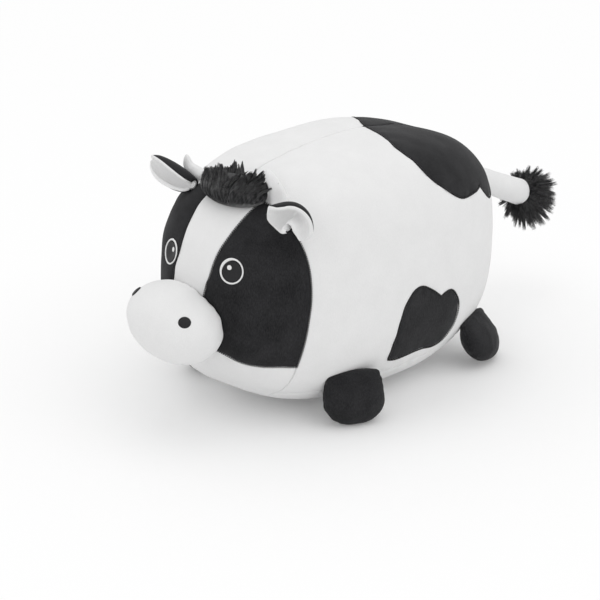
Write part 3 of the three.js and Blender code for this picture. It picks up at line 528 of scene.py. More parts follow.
def bump(tree, shader, *heights):
    """Chains bumps, each a height, a strength and a distance in metres."""
    normal = None
    for height, strength, distance in heights:
        node = tree.nodes.new("ShaderNodeBump")
        node.inputs["Strength"].default_value = strength
        node.inputs["Distance"].default_value = distance
        tree.links.new(height, node.inputs["Height"])
        if normal:
            tree.links.new(normal, node.inputs["Normal"])
        normal = node.outputs["Normal"]
    tree.links.new(normal, shader.inputs["Normal"])


def plush(name, low, high, sheen, fibre=1500.0, nap=(1.0, 1.0, 0.25)):
    """Short-pile fabric: fine fibres combed one way, with faint cloudy marks where the pile lies differently."""
    made, tree, shader, at = new_material(name, high, 0.92, sheen, 0.45)
    cloud = noise_node(tree, at, 38.0, 4.0, 0.55)
    fine = noise_node(tree, at, fibre, 2.0, 0.7, nap)
    mixed = calculated(tree, "MULTIPLY_ADD", fine, 0.6, calculated(tree, "MULTIPLY", cloud, 0.4))
    coloured(tree, shader, mixed, low, high)
    bump(tree, shader, (noise_node(tree, at, 520.0, 2.0, 0.6, nap), 0.35, 0.0006), (fine, 0.45, 0.0004))
    return made


def thread(name, low, high):
    """Embroidery thread: a satin gloss with fine twisted plies."""
    made, tree, shader, at = new_material(name, high, 0.5, 0.15, 0.3)
    plies = noise_node(tree, at, 2600.0, 2.0, 0.5, (1.0, 1.0, 0.5))
    coloured(tree, shader, plies, low, high)
    bump(tree, shader, (plies, 0.4, 0.0002))
    return made


def fur(name, root, tip):
    """Long pile: streaks of lighter and darker fibres, glossier along the fibre."""
    made, tree, shader, at = new_material(name, tip, 0.5, 0.3, 0.3)
    locks = noise_node(tree, at, 520.0, 2.0, 0.6, (1.0, 1.0, 0.22))
    strand_shade = tree.nodes.new("ShaderNodeNewGeometry").outputs["Random Per Island"]
    mixed = calculated(tree, "MULTIPLY_ADD", strand_shade, 0.22, locks)
    coloured(tree, shader, mixed, root, tip, 0.5, 0.8)
    bump(tree, shader, (noise_node(tree, at, 3000.0, 2.0, 0.6), 0.3, 0.0002))
    return made


def grey(level, blue=None):
    """A grey whose blue may be a little more or less."""
    return level, level, blue or level


LOOKS = {name: kind(name, *values) for kind, name, *values in (
    (plush, "white_plush", grey(0.76), grey(0.81), 0.15),
    (plush, "black_plush", grey(0.005, 0.006), grey(0.027, 0.029), 0.07),
    (fur, "black_fur", grey(0.003, 0.004), grey(0.07, 0.072)),
    # the tail's tuft has its own darker copy of the black fur: painted shade
    (fur, "black_fur_painted_shade", grey(0.002, 0.003), grey(0.03, 0.032)),
    (thread, "white_thread", grey(0.72), grey(0.86)),
    (thread, "dark_thread", grey(0.007, 0.008), grey(0.018, 0.02)),
    (thread, "black_thread", grey(0.008, 0.009), grey(0.018, 0.019)),
    (plush, "fibre_fill", grey(0.66, 0.64), grey(0.78, 0.76), 0.1, 700.0, (1.0, 1.0, 1.0)),
)}


def piece(name, mesh, look, body, *nodes, place=None, sharp=None, fill=None):
    """Makes a piece, with its material, the body it rides on and the CAD nodes it stands for."""
    points, faces = mesh
    points = place(points) if place else points
    made = mesh_object(name, points + CENTRE, faces, sharp)
    made.data.materials.append(LOOKS[look])
    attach(made, body)
    if nodes:
        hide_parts(*nodes)


# Body panels and patches

def whole_body():
    """The two halves as one surface, with each triangle's label and the lines of both halves."""
    points, triangles, labels, lines = half_body(1)
    other, more, names, other_lines = half_body(-1)
    other = other * (-1, 1, 1)
    more = more[:, ::-1]
    rim = np.flatnonzero(points[:, 0] == 0)
    tree = tree_of(points[rim])
    place = np.arange(len(other)) + len(points)
    for i in np.flatnonzero(other[:, 0] == 0):
        _, k, distance = tree.find(other[i])
        if distance < 0.05:
            place[i] = rim[k]
    every = np.vstack([points, other])
    both = np.vstack([triangles, place[more]])
    names = np.concatenate([labels, names])
    used, both = trimmed(both)
    points = every[used]
    t = points[both]
    outward = np.einsum("ij,ij->i", np.cross(t[:, 1] - t[:, 0], t[:, 2] - t[:, 0]), t.mean(1)) > 0
    both[~outward] = both[~outward][:, ::-1]
    return points, both, names, lines, [line * (-1, 1, 1) for line in other_lines]


body_points, body_triangles, body_labels, left_lines, right_lines = whole_body()
panel_names = sorted(set(body_labels))
label_numbers = np.searchsorted(panel_names, body_labels)


def seam_edges():
    """Edges where two labels meet, as pairs of points."""
    seen, found = {}, []
    for (a, b, c), label in zip(body_triangles.tolist(), label_numbers.tolist()):
        for e in ((a, b), (b, c), (c, a)):
            key = (min(e), max(e))
            if key in seen:
                if seen[key] != label:
                    found.append(key)
            else:
                seen[key] = label
    return np.array(found)


seams = seam_edges()
seam_samples = np.vstack([body_points[seams[:, 0]] * (1 - t) + body_points[seams[:, 1]] * t for t in (0, 0.33, 0.67)])
seam_tree = tree_of(seam_samples)
outward = body_normal(body_points)

EYE_SPREAD, EYE_HEIGHT = 40.3, 41.0
EYE_HOLLOW, EYE_HOLLOW_RADIUS = 2.8, 12.0
WIDE_RISE, SMALL_RISE = 0.5, 0.16
eye_middles = {side: from_front(np.array([[side * EYE_SPREAD, EYE_HEIGHT]]))[0][0] for _, side in HANDS}


def soft_shape(p):
    """The filling's slow rise and fall, and the hollow that the stitches draw round each eye."""
    distance = np.min([np.linalg.norm(p - middle, axis=-1) for middle in eye_middles.values()], axis=0)
    hollow = EYE_HOLLOW * np.exp(-((distance / EYE_HOLLOW_RADIUS) ** 2))
    return WIDE_RISE * wide_bumps(p) + SMALL_RISE * small_bumps(p) - hollow


def seam_shape(p):
    """How far the fabric stands out from the body's form, drawn in and puckered beside its seams."""
    found = [seam_tree.find(q) for q in p]
    near = np.array([f[0] for f in found])
    distance = np.array([f[2] for f in found])
    share = np.clip(distance / SEAM_WIDTH, 0, 1)
    groove = -SEAM_DEPTH * (1 - np.sqrt(1 - (1 - share) ** 2)) - CREASE_DEPTH * np.exp(-distance / CREASE_REACH)
    pull = -PULL_DEPTH * np.exp(-distance / PULL_REACH)
    pucker = PUCKER_DEPTH * pucker_bumps(near) * np.exp(-distance / PUCKER_REACH)
    return groove + pull + pucker * np.clip(distance / PUCKER_START, 0, 1) + soft_shape(p)


fabric = body_points + outward * seam_shape(body_points)[:, None]
fabric[:, 2] = np.maximum(fabric[:, 2], FLOOR)


def panel(name, look):
    """A panel or patch of cloth, its edges drawn in a little from its seams."""
    used, triangles = trimmed(body_triangles[label_numbers == panel_names.index(name)])
    points, normals = fabric[used], outward[used]
    count, middle = np.zeros(len(points)), np.zeros_like(points)
    centres = points[triangles].mean(1)
    for k in range(3):
        np.add.at(count, triangles[:, k], 1)
        np.add.at(middle, triangles[:, k], centres)
    inward = middle / count[:, None] - points
    inward = unit_of(inward - normals * np.einsum("ij,ij->i", inward, normals)[:, None], 1e-9)
    at_seam = np.isin(used, seams)
    points[at_seam] += inward[at_seam] * SEAM_GAP
    both, faces = shell(points, normals, triangles, PANEL_THICKNESS)
    both[:, 2] = np.maximum(both[:, 2], FLOOR + 0.02)
    piece(name + "_cloth", (both, faces), look, "body", name, sharp=PANEL_SHARP)


for name in panel_names:
    panel(name, "black_plush" if name.endswith("patch") else "white_plush")


def body_filling(inset, rows=44, columns=72):
    units = ball_units(np.linspace(0, math.pi, rows + 2)[1:-1, None], turns(columns))
    p = to_body(units * together(HALF_WIDTH, fullness(units[..., 1])[0], HALF_HEIGHT))
    p = raised(p, (-inset + 0.4 * wide_bumps(p) + 0.15 * small_bumps(p))[..., None])
    p[..., 2] = np.maximum(p[..., 2], FLOOR + 1.9)
    return closed_rings((0, inset - FRONT_LENGTH, 0), p, (0, REAR_LENGTH - inset, 0))


piece("body_filling", body_filling(BODY_INSET), "fibre_fill", "body", "body_stuffing", fill=0.9)


# Stitches along the outlines of the black patches

STITCH_PITCH, STITCH_REACH, STITCH_RADIUS, STITCH_SINK, STITCH_SLANT = 2.1, 1.1, 0.6, 0.45, 0.25


def capsule(a, b, up, radius):
    """A short raised stitch from a to b."""
    length = np.linalg.norm(b - a)
    along = (b - a) / length
    across = unit_of(np.cross(along, up))
    turn = turns(6)[:, None]
    rings = []
    for share, size in ((0.04, 0.55), (0.2, 0.95), (0.5, 1.0), (0.8, 0.95), (0.96, 0.55)):
        rings.append(a + along * length * share + radius * size * (across * np.cos(turn) + up * np.sin(turn)))
    return closed_rings(a, np.array(rings), b)


def stitching(name, line):
    """Stitches across a line on the body, slanted one way and the other."""
    line = resampled(line, STITCH_PITCH)
    along = unit_of(np.gradient(line, axis=0))
    up = body_normal(line)
    across = np.cross(up, along)
    middles = line + up * (soft_shape(line) - STITCH_SINK)[:, None]
    stitches = []
    for i, middle in enumerate(middles):
        way = (across[i] + along[i] * (STITCH_SLANT if i % 2 else -STITCH_SLANT)) * STITCH_REACH
        stitches.append(capsule(middle - way, middle + way, up[i], STITCH_RADIUS))
    piece(name, joined(*stitches), "black_thread", "body")


def real_edge(line):
    """The stretch of a line that is a seam."""
    return line[[seam_tree.find(p)[2] < SEAM_SAMPLE_REACH for p in line]]


for (hand, _), lines in zip(HANDS, (left_lines, right_lines)):
    stitching(hand + "_cheek_front_stitches", real_edge(lines[2]))
    stitching(hand + "_cheek_rear_stitches", real_edge(lines[3]))
    stitching(hand + "_flank_stitches", lines[4])
    stitching(hand + "_back_stitches", lines[5])


# Muzzle: a rolled and turned ellipsoid sewn to the face

MUZZLE_SIZE = np.array([53.5, 39.0, 36.0])
MUZZLE_CENTRE = np.array([-5.0, -216.0, -13.0])
MUZZLE_FRONT = np.array([0, -1.0, 0])
# three.js turns in the order YZX as Y times Z times X
MUZZLE_TURN = np.array(Matrix.Rotation(math.radians(9), 3, "Y") @ Matrix.Rotation(math.radians(-5), 3, "Z"))


def muzzle_point(unit, proud=0.0):
    """Points of the muzzle's face in the directions of unit vectors, which are its own."""
    return (unit * (MUZZLE_SIZE + proud)) @ MUZZLE_TURN.T + MUZZLE_CENTRE


def muzzle_normal(unit):
    return unit_of((unit / MUZZLE_SIZE) @ MUZZLE_TURN.T)


def muzzle_edge(turn, inset, clear):
    """How far the muzzle's face reaches round from its front before it comes that near to the body."""
    def apart(tilt):
        return body_measure(muzzle_point(ball_units(tilt, turn), -inset))[0] > clear
    return farthest(apart, len(turn), math.pi, 40)


def muzzle_cover(rows=56, columns=120):
    turn = turns(columns)
    share = np.concatenate([np.linspace(0, 0.9, rows - 9)[1:], 1 - np.linspace(0.09, 0, 10)])
    units = ball_units(np.outer(share, muzzle_edge(turn, 0.0, 1.004)), turn)
    p, n = muzzle_point(units), muzzle_normal(units)
    edge = np.broadcast_to(p[-1], p.shape)
    gap = np.linalg.norm(p - edge, axis=2)
    soft = 0.35 * waves(11, 60)(p) + 0.12 * waves(12, 22)(p) + 0.35 * waves(13, 12)(edge) * np.exp(-gap / 7)
    p = p + n * (soft - 1.4 * np.exp(-gap / 2.2))[..., None]
    points = np.vstack([muzzle_point(MUZZLE_FRONT), p.reshape(-1, 3)])
    normals = np.vstack([muzzle_normal(MUZZLE_FRONT), n.reshape(-1, 3)])
    triangles = np.array(halves(grid_faces(len(share), columns))) + 1
    fan = [(0, 1 + (c + 1) % columns, 1 + c) for c in range(columns)]
    triangles = np.vstack([triangles, fan])
    a, b, c = points[triangles[0]]
    if np.dot(np.cross(b - a, c - a), normals[triangles[0, 0]]) < 0:
        triangles = triangles[:, ::-1]
    return shell(points, normals, triangles, PANEL_THICKNESS)


def muzzle_filling(inset, rows=24, columns=48):
    turn = turns(columns)
    tilt = np.outer(np.linspace(0, 1, rows)[1:], muzzle_edge(turn, inset, 1.01))
    rings = muzzle_point(ball_units(tilt, turn), -inset)
    middle = raised(to_body(rings[-1].mean(0)), 1.0)
    # the back follows the face it lies on
    inner = [raised(to_body(middle + (rings[-1] - middle) * share), 1.2) for share in (0.75, 0.5, 0.25)]
    return closed_rings(muzzle_point(MUZZLE_FRONT, -inset), np.vstack([rings, inner]), middle)


piece("muzzle_cloth", muzzle_cover(), "white_plush", "body", "muzzle_cover", sharp=PANEL_SHARP)
piece("muzzle_filling", muzzle_filling(MUZZLE_INSET), "fibre_fill", "body", "muzzle_stuffing", fill=0.85)


NOSTRIL_WIDTH, NOSTRIL_HEIGHT, NOSTRIL_RISE, NOSTRIL_PITCH = 6.0, 5.6, 51.0, 0.75
NOSTRIL_SPREAD = {1: 41.0, -1: 49.0}


def nostril(side, rows=14, columns=96):
    """A satin-stitched oval whose threads cross it side by side."""
    lateral, rise = math.radians(NOSTRIL_SPREAD[side]), math.radians(NOSTRIL_RISE)
    forward = math.cos(lateral)
    unit = np.array([side * math.sin(lateral), -forward * math.cos(rise), forward * math.sin(rise)])
    centre, normal = muzzle_point(unit), muzzle_normal(unit)
    across, up = directions_on(normal)
    turn = turns(columns)
    rings = []
    for share in np.linspace(0, 1, rows)[1:]:
        x, y = NOSTRIL_WIDTH * share * np.cos(turn), NOSTRIL_HEIGHT * share * np.sin(turn)
        q = centre + np.outer(x, across) + np.outer(y, up)
        # onto the muzzle's face
        own = unit_of((q - MUZZLE_CENTRE) @ MUZZLE_TURN / MUZZLE_SIZE)
        ridge = 0.09 * np.cos(x * TURN / NOSTRIL_PITCH) * min(1, (1 - share) * 6 + 0.15)
        height = 0.1 + 0.85 * math.sqrt(max(0, 1 - share ** 3)) + ridge
        rings.append(muzzle_point(own) + muzzle_normal(own) * height[:, None])
    rings.append(rings[-1] - muzzle_normal(own) * 0.9)
    return closed_rings(centre + normal * 0.95, np.array(rings), centre - normal * 0.6)


for hand, side in HANDS:
    piece(hand + "_nostril_stitches", nostril(side), "black_thread", "body", hand + "_nostril")


# Eyes

EYE_RADIUS, EYE_RING_WIDTH = 12.5, 1.9
PUPIL_RADIUS, PUPIL_OFFSET, PUPIL_PITCH = EYE_RADIUS - EYE_RING_WIDTH - 0.6, 0.4, 1.1
GLINT_RADIUS, GLINT_OFFSET, GLINT_PITCH = 2.4, 4.2 * math.sqrt(0.5), 0.7


def on_face(side, x, y, height):
    """Points of the face at distances across and up from the eye's middle, raised by a height."""
    across, up = directions_on(body_normal(eye_middles[side]))
    q = to_body(eye_middles[side] + np.outer(x, across) + np.outer(y, up))
    return raised(q, (height + soft_shape(q))[:, None])


def eye_ring(side, stitches=132, steps=16):
    """A ring of satin stitches, each a low ridge across it, and widest on the glint's side."""
    turn = turns(stitches * 4)
    ridge = 0.05 * np.cos(turn * stitches)
    to_glint = np.clip(np.cos(turn - math.atan2(1, -side)), 0, 1)
    width = EYE_RING_WIDTH * (0.82 + 0.6 * to_glint ** 2)
    rings = []
    for angle in turns(steps):
        rise = math.sin(angle)
        radius = EYE_RADIUS - width / 2 + math.cos(angle) * (width / 2 + ridge)
        height = 0.1 + (0.55 + ridge) * max(rise, 0) - 0.5 * max(-rise, 0)
        rings.append(on_face(side, radius * np.cos(turn), radius * np.sin(turn), height))
    points = np.vstack(rings)
    return points, [tuple(i % len(points) for i in f) for f in grid_faces(steps + 1, len(turn))]


def stitched_disc(side, radius, x0, y0, base, rise, pitch, rows=18, columns=120):
    """A disc of stitches that run across it side by side."""
    turn = turns(columns)
    rings = []
    for share in np.linspace(0, 1, rows)[1:]:
        x, y = radius * share * np.cos(turn), radius * share * np.sin(turn)
        ridge = 0.06 * np.cos(y * TURN / pitch) * min(1, (1 - share) * 8)
        height = base + rise * math.sqrt(max(0, 1 - share ** 4)) + ridge
        rings.append(on_face(side, x + x0, y + y0, height))
    rings.append(on_face(side, x + x0, y + y0, -0.4))
    centre, below = (on_face(side, x0, y0, height)[0] for height in (base + rise, -0.5))
    return closed_rings(centre, np.array(rings), below)


for hand, side in HANDS:
    pupil = stitched_disc(side, PUPIL_RADIUS, side * PUPIL_OFFSET, -PUPIL_OFFSET, 0.05, 0.4, PUPIL_PITCH)
    glint = stitched_disc(side, GLINT_RADIUS, -side * GLINT_OFFSET, GLINT_OFFSET, 0.45, 0.45, GLINT_PITCH)
    for part, mesh, look in (
        ("_eye_ring", eye_ring(side), "white_thread"),
        ("_eye_pupil", pupil, "dark_thread"),
        ("_eye_glint", glint, "white_thread"),
    ):
        piece(hand + part + "_stitches", mesh, look, "body", hand + part)


# Horns

def surface_above(x, y):
    """The top of the body where x and y are given."""
    length, n = fullness(np.array(y))
    rest = (1 - np.abs(y / length) ** n) ** (3 / n) - abs(x / HALF_WIDTH) ** 3
    return np.array([x, y, HALF_HEIGHT * rest ** (1 / 3)])


HORN_RADIUS, HORN_ROOT_DEPTH = 8.0, 8.0
HORN_SPACING = 0.1
HORNS = (
    (surface_above(54.0, -136.0), [(2, -3, 16), (-9, -8, 34)]),
    (surface_above(49.0, -132.0), [(14, 0, 3), (23, 0, 0), (23, 0, 17)]),
)


def bezier(controls, t):
    """Points of the curve that its control points draw."""
    t = np.asarray(t)[:, None]
    rows = [np.asarray(c, float)[None] for c in controls]
    while len(rows) > 1:
        rows = [a * (1 - t) + b * t for a, b in zip(rows, rows[1:])]
    return rows[0]


def horn(side, place, steps, rows=46, columns=48):
    """A horn's start, the rings from inside its root to its tip, and its end."""
    line = bezier([raised(place, -HORN_ROOT_DEPTH), *(place + step for step in steps)], np.linspace(0, 1, 400))
    line = resampled(line, HORN_SPACING)
    shares = np.sin(np.linspace(0.12, 1, rows) * math.pi / 2)
    at = shares * (len(line) - 1)
    places = np.arange(len(line))
    centres, tangents = between(at, places, line), unit_of(between(at, places, np.gradient(line, axis=0)))
    turn = turns(columns)
    rings = []
    for share, centre, tangent in zip(shares[:-1], centres, tangents):
        across = unit_of(np.cross(tangent, (0, 1, 0)))
        up = np.cross(across, tangent)
        radius = HORN_RADIUS * (1 - 0.5 * share ** 1.5) * math.sqrt(1 - share ** 6)
        # the seam runs up the horn's outer side
        off = np.abs((turn + math.pi) % TURN - math.pi) * radius
        size = radius - 0.5 * np.exp(-((off / 0.9) ** 2)) + 0.12 * np.exp(-(((off - 2.2) / 1.2) ** 2))
        rings.append(centre + np.outer(np.cos(turn) * size, across) + np.outer(np.sin(turn) * size, up))
    return (centres[0] - tangents[0] * 0.5) * (side, 1, 1), np.array(rings) * (side, 1, 1), centres[-1] * (side, 1, 1)


for (hand, side), (place, steps) in zip(HANDS, HORNS):
    start, rings, end = horn(side, place, steps)
    normals = unit_of(rings - rings.mean(1, keepdims=True))
    rings = rings + normals * (0.25 * waves(21 + side, 18)(rings))[..., None]
    # the sewn foot of the horn spreads a little and tucks under
    above = (body_measure(rings)[0] - 1) * 60
    rings = rings + normals * (0.7 * np.exp(-((above - 3) / 3) ** 2))[..., None]
    points, faces = closed_rings(start, rings, end)
    mesh = (points, [f[::side] for f in faces])
    piece(hand + "_horn_cloth", mesh, "white_plush", "body", hand + "_horn_cover", hand + "_horn_stuffing", fill=0.8)


# Turned parts: a place on the body with the limb's own directions

def limb_frame(pivot, side, tilt_x, tilt_y, tilt_z):
    """What turns a limb's own points into the body's, as three.js does with the order ZYX."""
    turn = np.array(
        Matrix.Rotation(math.radians(side * tilt_z), 3, "Z")
        @ Matrix.Rotation(math.radians(side * tilt_y), 3, "Y")
        @ Matrix.Rotation(math.radians(tilt_x), 3, "X")
    )
    place = np.array(pivot) * (side, 1, 1)
    return lambda p: (p * (side, 1, 1)) @ turn.T + place


# Ears

EAR_ROOT_SHARE, EAR_TIP_SHARE, EAR_WIDEST, EAR_CURL_MIDDLE = 0.45, 0.12, 0.35, 0.4
EAR_ROOT_CURL, EAR_MIDDLE_CURL, EAR_FORWARD, EAR_BEND_START, EAR_BEND_END = 145.0, 128.0, 4.0, 0.2, 0.92
EAR_LIFT, EAR_ROUND_ROOT, EAR_CLOTH, EAR_CLOTH_INNER, EAR_RIM = 3.5, 0.14, 1.9, 1.8, 0.055
EAR_BACK_LENGTH, EAR_BACK_SPAN = 0.9, 0.92
LEFT_EAR = {"place": surface_above(58.0, -148.0), "proud": (5.1, -5.5, 2.9), "start": 1.0, "length": 55.0,
            "bend": 120.0, "turns": (-92.0, -18.0, 14.0)}
RIGHT_EAR = {"place": surface_above(51.0, -142.0), "proud": (0, 0, 0), "start": -7.0, "length": 60.0, "width": 22.5,
             "tip_curl": 100.0, "bend": 4.0, "turns": (-90.0, -16.0, 0.0)}
LOBE_PLACES, LOBE_UPPER = (0, 0.15, 0.3, 0.42, 0.55, 0.75, 1), (18, 23, 25, 25, 21, 14, 5)
LOBE_LOWER = (14, 20, 25, 26, 12, 7, 3)
# the lobe's places are shares of its length, and its other numbers are in millimetres
LOBE_RADIUS_PLACES, LOBE_RADIUS, LOBE_WIDER_BELOW = (0, 0.4, 1), (9.6, 10.4, 14.0), 4.4
LOBE_TIP, LOBE_UPPER_ROOT, LOBE_LOWER_ROOT = 0.2, 0.4, 0.35
LOBE_BEND, LOBE_FOLD, LOBE_UNFOLD = (0.32, 0.82), (0.42, 0.5), (0.75, 1.0)
LOBE_CUP, LOBE_CUP_END = 11.0, 0.35
LOBE_AHEAD, LOBE_PLEAT, LOBE_PLEAT_END = 9.0, 3.5, 0.8


def bent_middle(leaf, shares, low, high):
    """The leaf's middle line, bent between two shares of its length, with the directions along and across it."""
    fine = np.linspace(0, 1, 400)
    turned = math.radians(leaf["bend"]) * smooth_step(low, high, fine)
    spine = np.cumsum(together(np.cos(turned), np.sin(turned)), axis=0) * leaf["length"] / 400
    turned = np.interp(shares, fine, turned)
    x, y = between(shares, fine, spine).T
    middle = together(x + leaf["start"], y, -EAR_FORWARD * shares ** 2)
    return middle, together(np.cos(turned), np.sin(turned), 0), together(-np.sin(turned), np.cos(turned), 0)


def across_leaf(columns, span):
    return span * np.sin(np.linspace(-math.pi / 2, math.pi / 2, columns))


def ear_grid(leaf, offset, rows=72, columns=81, end=1.0, span=1.0):
    """Points of the ear's leaf, whose root is rounded off. The offset from its middle surface depends on the place."""
    shares = end * np.sin(np.linspace(0.02, math.pi / 2, rows)) ** 0.9
    aside = across_leaf(columns, span)
    to_root = np.clip(shares / EAR_WIDEST, EAR_ROUND_ROOT / EAR_WIDEST, 1)
    to_tip = np.clip((shares - EAR_WIDEST) / (1 - EAR_WIDEST), 0, 1)
    swell = EAR_ROOT_SHARE + (1 - EAR_ROOT_SHARE) * np.sqrt(np.sin(math.pi / 2 * to_root))
    width = leaf["width"] * swell * (EAR_TIP_SHARE + (1 - EAR_TIP_SHARE) * (1 - to_tip ** 2.1) ** 0.7)
    curls = (EAR_ROOT_CURL, EAR_MIDDLE_CURL, leaf["tip_curl"])
    curl = np.radians(np.interp(shares, (0, EAR_CURL_MIDDLE, 1), curls))
    middle, _, across = bent_middle(leaf, shares, EAR_BEND_START, EAR_BEND_END)
    radius = (width / curl * np.sqrt(1 - (1 - np.clip(shares / EAR_ROUND_ROOT, 0, 1)) ** 2))[:, None]
    reach = np.maximum(radius + offset(shares[:, None], np.abs(aside)[None]), radius * 0.3)
    turn = curl[:, None] * aside
    sideways = (reach * np.sin(turn))[..., None] * across[:, None]
    return middle[:, None] + sideways + together(0, 0, reach * np.cos(turn) - radius)


def lobe_grid(leaf, offset, rows=84, columns=81, end=1.0, span=1.0):
    """The left ear's leaf: an open spoon at the root whose tip hangs down in front of it."""
    shares = end * np.sin(np.linspace(0, math.pi / 2, rows)) + 1e-4
    aside = across_leaf(columns, span)
    tip = np.sqrt(np.maximum(1 - np.clip(shares / LOBE_TIP - (1 / LOBE_TIP - 1), 0, 1) ** 2.2, 0.02))
    upper, lower = (
        np.interp(shares, LOBE_PLACES, widths) * tip * np.sqrt(1 - (1 - np.clip(shares / root, 0, 1)) ** 2)
        for widths, root in ((LOBE_UPPER, LOBE_UPPER_ROOT), (LOBE_LOWER, LOBE_LOWER_ROOT))
    )
    radius = np.interp(shares, LOBE_RADIUS_PLACES, LOBE_RADIUS)[:, None]
    wider = LOBE_WIDER_BELOW * np.interp(shares, (0, 0.5, 1), (1, 0.6, 0))[:, None]
    radius = radius + wider * smooth_step(-0.35, 0.35, aside)[None]
    middle, along, across = bent_middle(leaf, shares, *LOBE_BEND)
    middle[:, 2] -= LOBE_CUP * np.clip(1 - shares / LOBE_CUP_END, 0, 1) ** 2
    turn = np.where(aside[None] > 0, lower[:, None], upper[:, None]) * aside[None] / radius
    reach = radius + offset(shares[:, None], np.abs(aside)[None])
    # past the fold the leaf lies in front of its own root, with a pleat beside the fold
    fold = smooth_step(*LOBE_FOLD, shares)
    ahead = LOBE_AHEAD * fold[:, None] * smooth_step(-0.2, 0.6, aside)[None]
    height = reach * np.cos(turn) - radius - ahead * (1 - smooth_step(*LOBE_UNFOLD, shares))[:, None]
    pleat = fold - smooth_step(LOBE_FOLD[1], LOBE_PLEAT_END, shares)
    pleat = LOBE_PLEAT * pleat[:, None] * smooth_step(-0.1, 0.5, aside)[None]
    sideways = (reach * np.sin(turn))[..., None] * across[:, None] - pleat[..., None] * along[:, None]
    return middle[:, None] + sideways + together(0, 0, height)


def rim_fall(share, aside):
    """From one inside the leaf to nought at its rim, in a round."""
    rim = np.maximum(np.clip((share - 1 + EAR_RIM) / EAR_RIM, 0, 1), np.clip((aside - 1 + EAR_RIM) / EAR_RIM, 0, 1))
    return np.sqrt(1 - rim ** 2)


def lining_outside(share, aside):
    """The lining turns round the rim, so that the back meets it behind."""
    turned = np.maximum(smooth_step(0.86, 0.93, share), smooth_step(0.88, 0.94, aside))
    return EAR_CLOTH * turned * rim_fall(share, aside)


def lining_inside(share, aside):
    return -EAR_CLOTH_INNER * rim_fall(share, aside)


def back_outside(share, aside):
    edge = np.maximum(smooth_step(0.8, 0.9, share), smooth_step(0.84, 0.92, aside))
    return EAR_CLOTH + 0.25 - 0.5 * edge


def back_inside(share, aside):
    return 0.15 + 0 * share + 0 * aside


def closed_sheet(upper, lower):
    """A closed sheet between two grids of points."""
    rows, columns = upper.shape[:2]
    points = np.vstack([upper.reshape(-1, 3), lower.reshape(-1, 3)])
    count = rows * columns
    faces = grid_faces(rows, columns, closed=False)
    faces += [tuple(i + count for i in f[::-1]) for f in faces]
    ring = [(0, c) for c in range(columns)] + [(r, columns - 1) for r in range(1, rows)]
    ring += [(rows - 1, c) for c in range(columns - 2, -1, -1)] + [(r, 0) for r in range(rows - 2, 0, -1)]
    ring = [r * columns + c for r, c in ring]
    for a, b in zip(ring, ring[1:] + ring[:1]):
        faces.append((b, a, a + count, b + count))
    return points, faces


for (hand, side), leaf, grid in zip(HANDS, (LEFT_EAR, RIGHT_EAR), (lobe_grid, ear_grid)):
    to_ear = limb_frame(raised(leaf["place"], EAR_LIFT) + leaf["proud"], side, *leaf["turns"])
    lining = closed_sheet(grid(leaf, lining_outside), grid(leaf, lining_inside))
    faces = (back_outside, back_inside)
    back = closed_sheet(*(grid(leaf, face, end=EAR_BACK_LENGTH, span=EAR_BACK_SPAN) for face in faces))
    for part, mesh, look in (("_ear_lining", lining, "white_plush"), ("_ear_back", back, "black_plush")):
        piece(hand + part + "_cloth", mesh, look, hand + "_ear", hand + part, place=to_ear, sharp=LIMB_SHARP)


# Feet

FOOT_WIDTH, FOOT_THICKNESS, FOOT_LENGTH, KNUCKLE = 32.0, 15.5, 44.5, 9.5
FOOT_HEIGHT, FOOT_LIFT, FOOT_TOP_WIDTH = 46.0, 5.0, 28.5
# each foot's place along the body, its splay and heading in degrees, and how far back it sweeps
FEET = (("front", -85.0, -6.0, -25.0, 3.0), ("rear", 108.0, -22.0, 20.0, 14.0))


def foot_rings(inset, sweep, rows=64, columns=96):
    """Rings of the foot from its knuckle down, swept back towards its toe."""
    turn = turns(columns)
    rings = []
    for share in (1 - np.cos(np.linspace(0, math.pi, rows + 2)[1:-1])) / 2:
        z = KNUCKLE - share * (KNUCKLE + FOOT_LENGTH)
        below = max(-z / FOOT_LENGTH, 0)
        swell = math.sin(math.pi * min(below / 1.1, 1) ** 0.9) ** 0.8
        round_end = max(1 - below ** 4, 0) ** 0.4
        knuckle = math.sqrt(KNUCKLE ** 2 - z ** 2) if z > 0 else KNUCKLE
        corner = math.sqrt(1 - (z / KNUCKLE) ** 4) if z > 0 else 1
        half_width = (FOOT_TOP_WIDTH + (FOOT_WIDTH - FOOT_TOP_WIDTH) * swell) * round_end * corner - inset
        half_thickness = (knuckle + (FOOT_THICKNESS - KNUCKLE) * swell) * round_end - inset
        rings.append(together(half_thickness * np.sin(turn), half_width * np.cos(turn) + sweep * below ** 2, z))
    return np.array(rings)


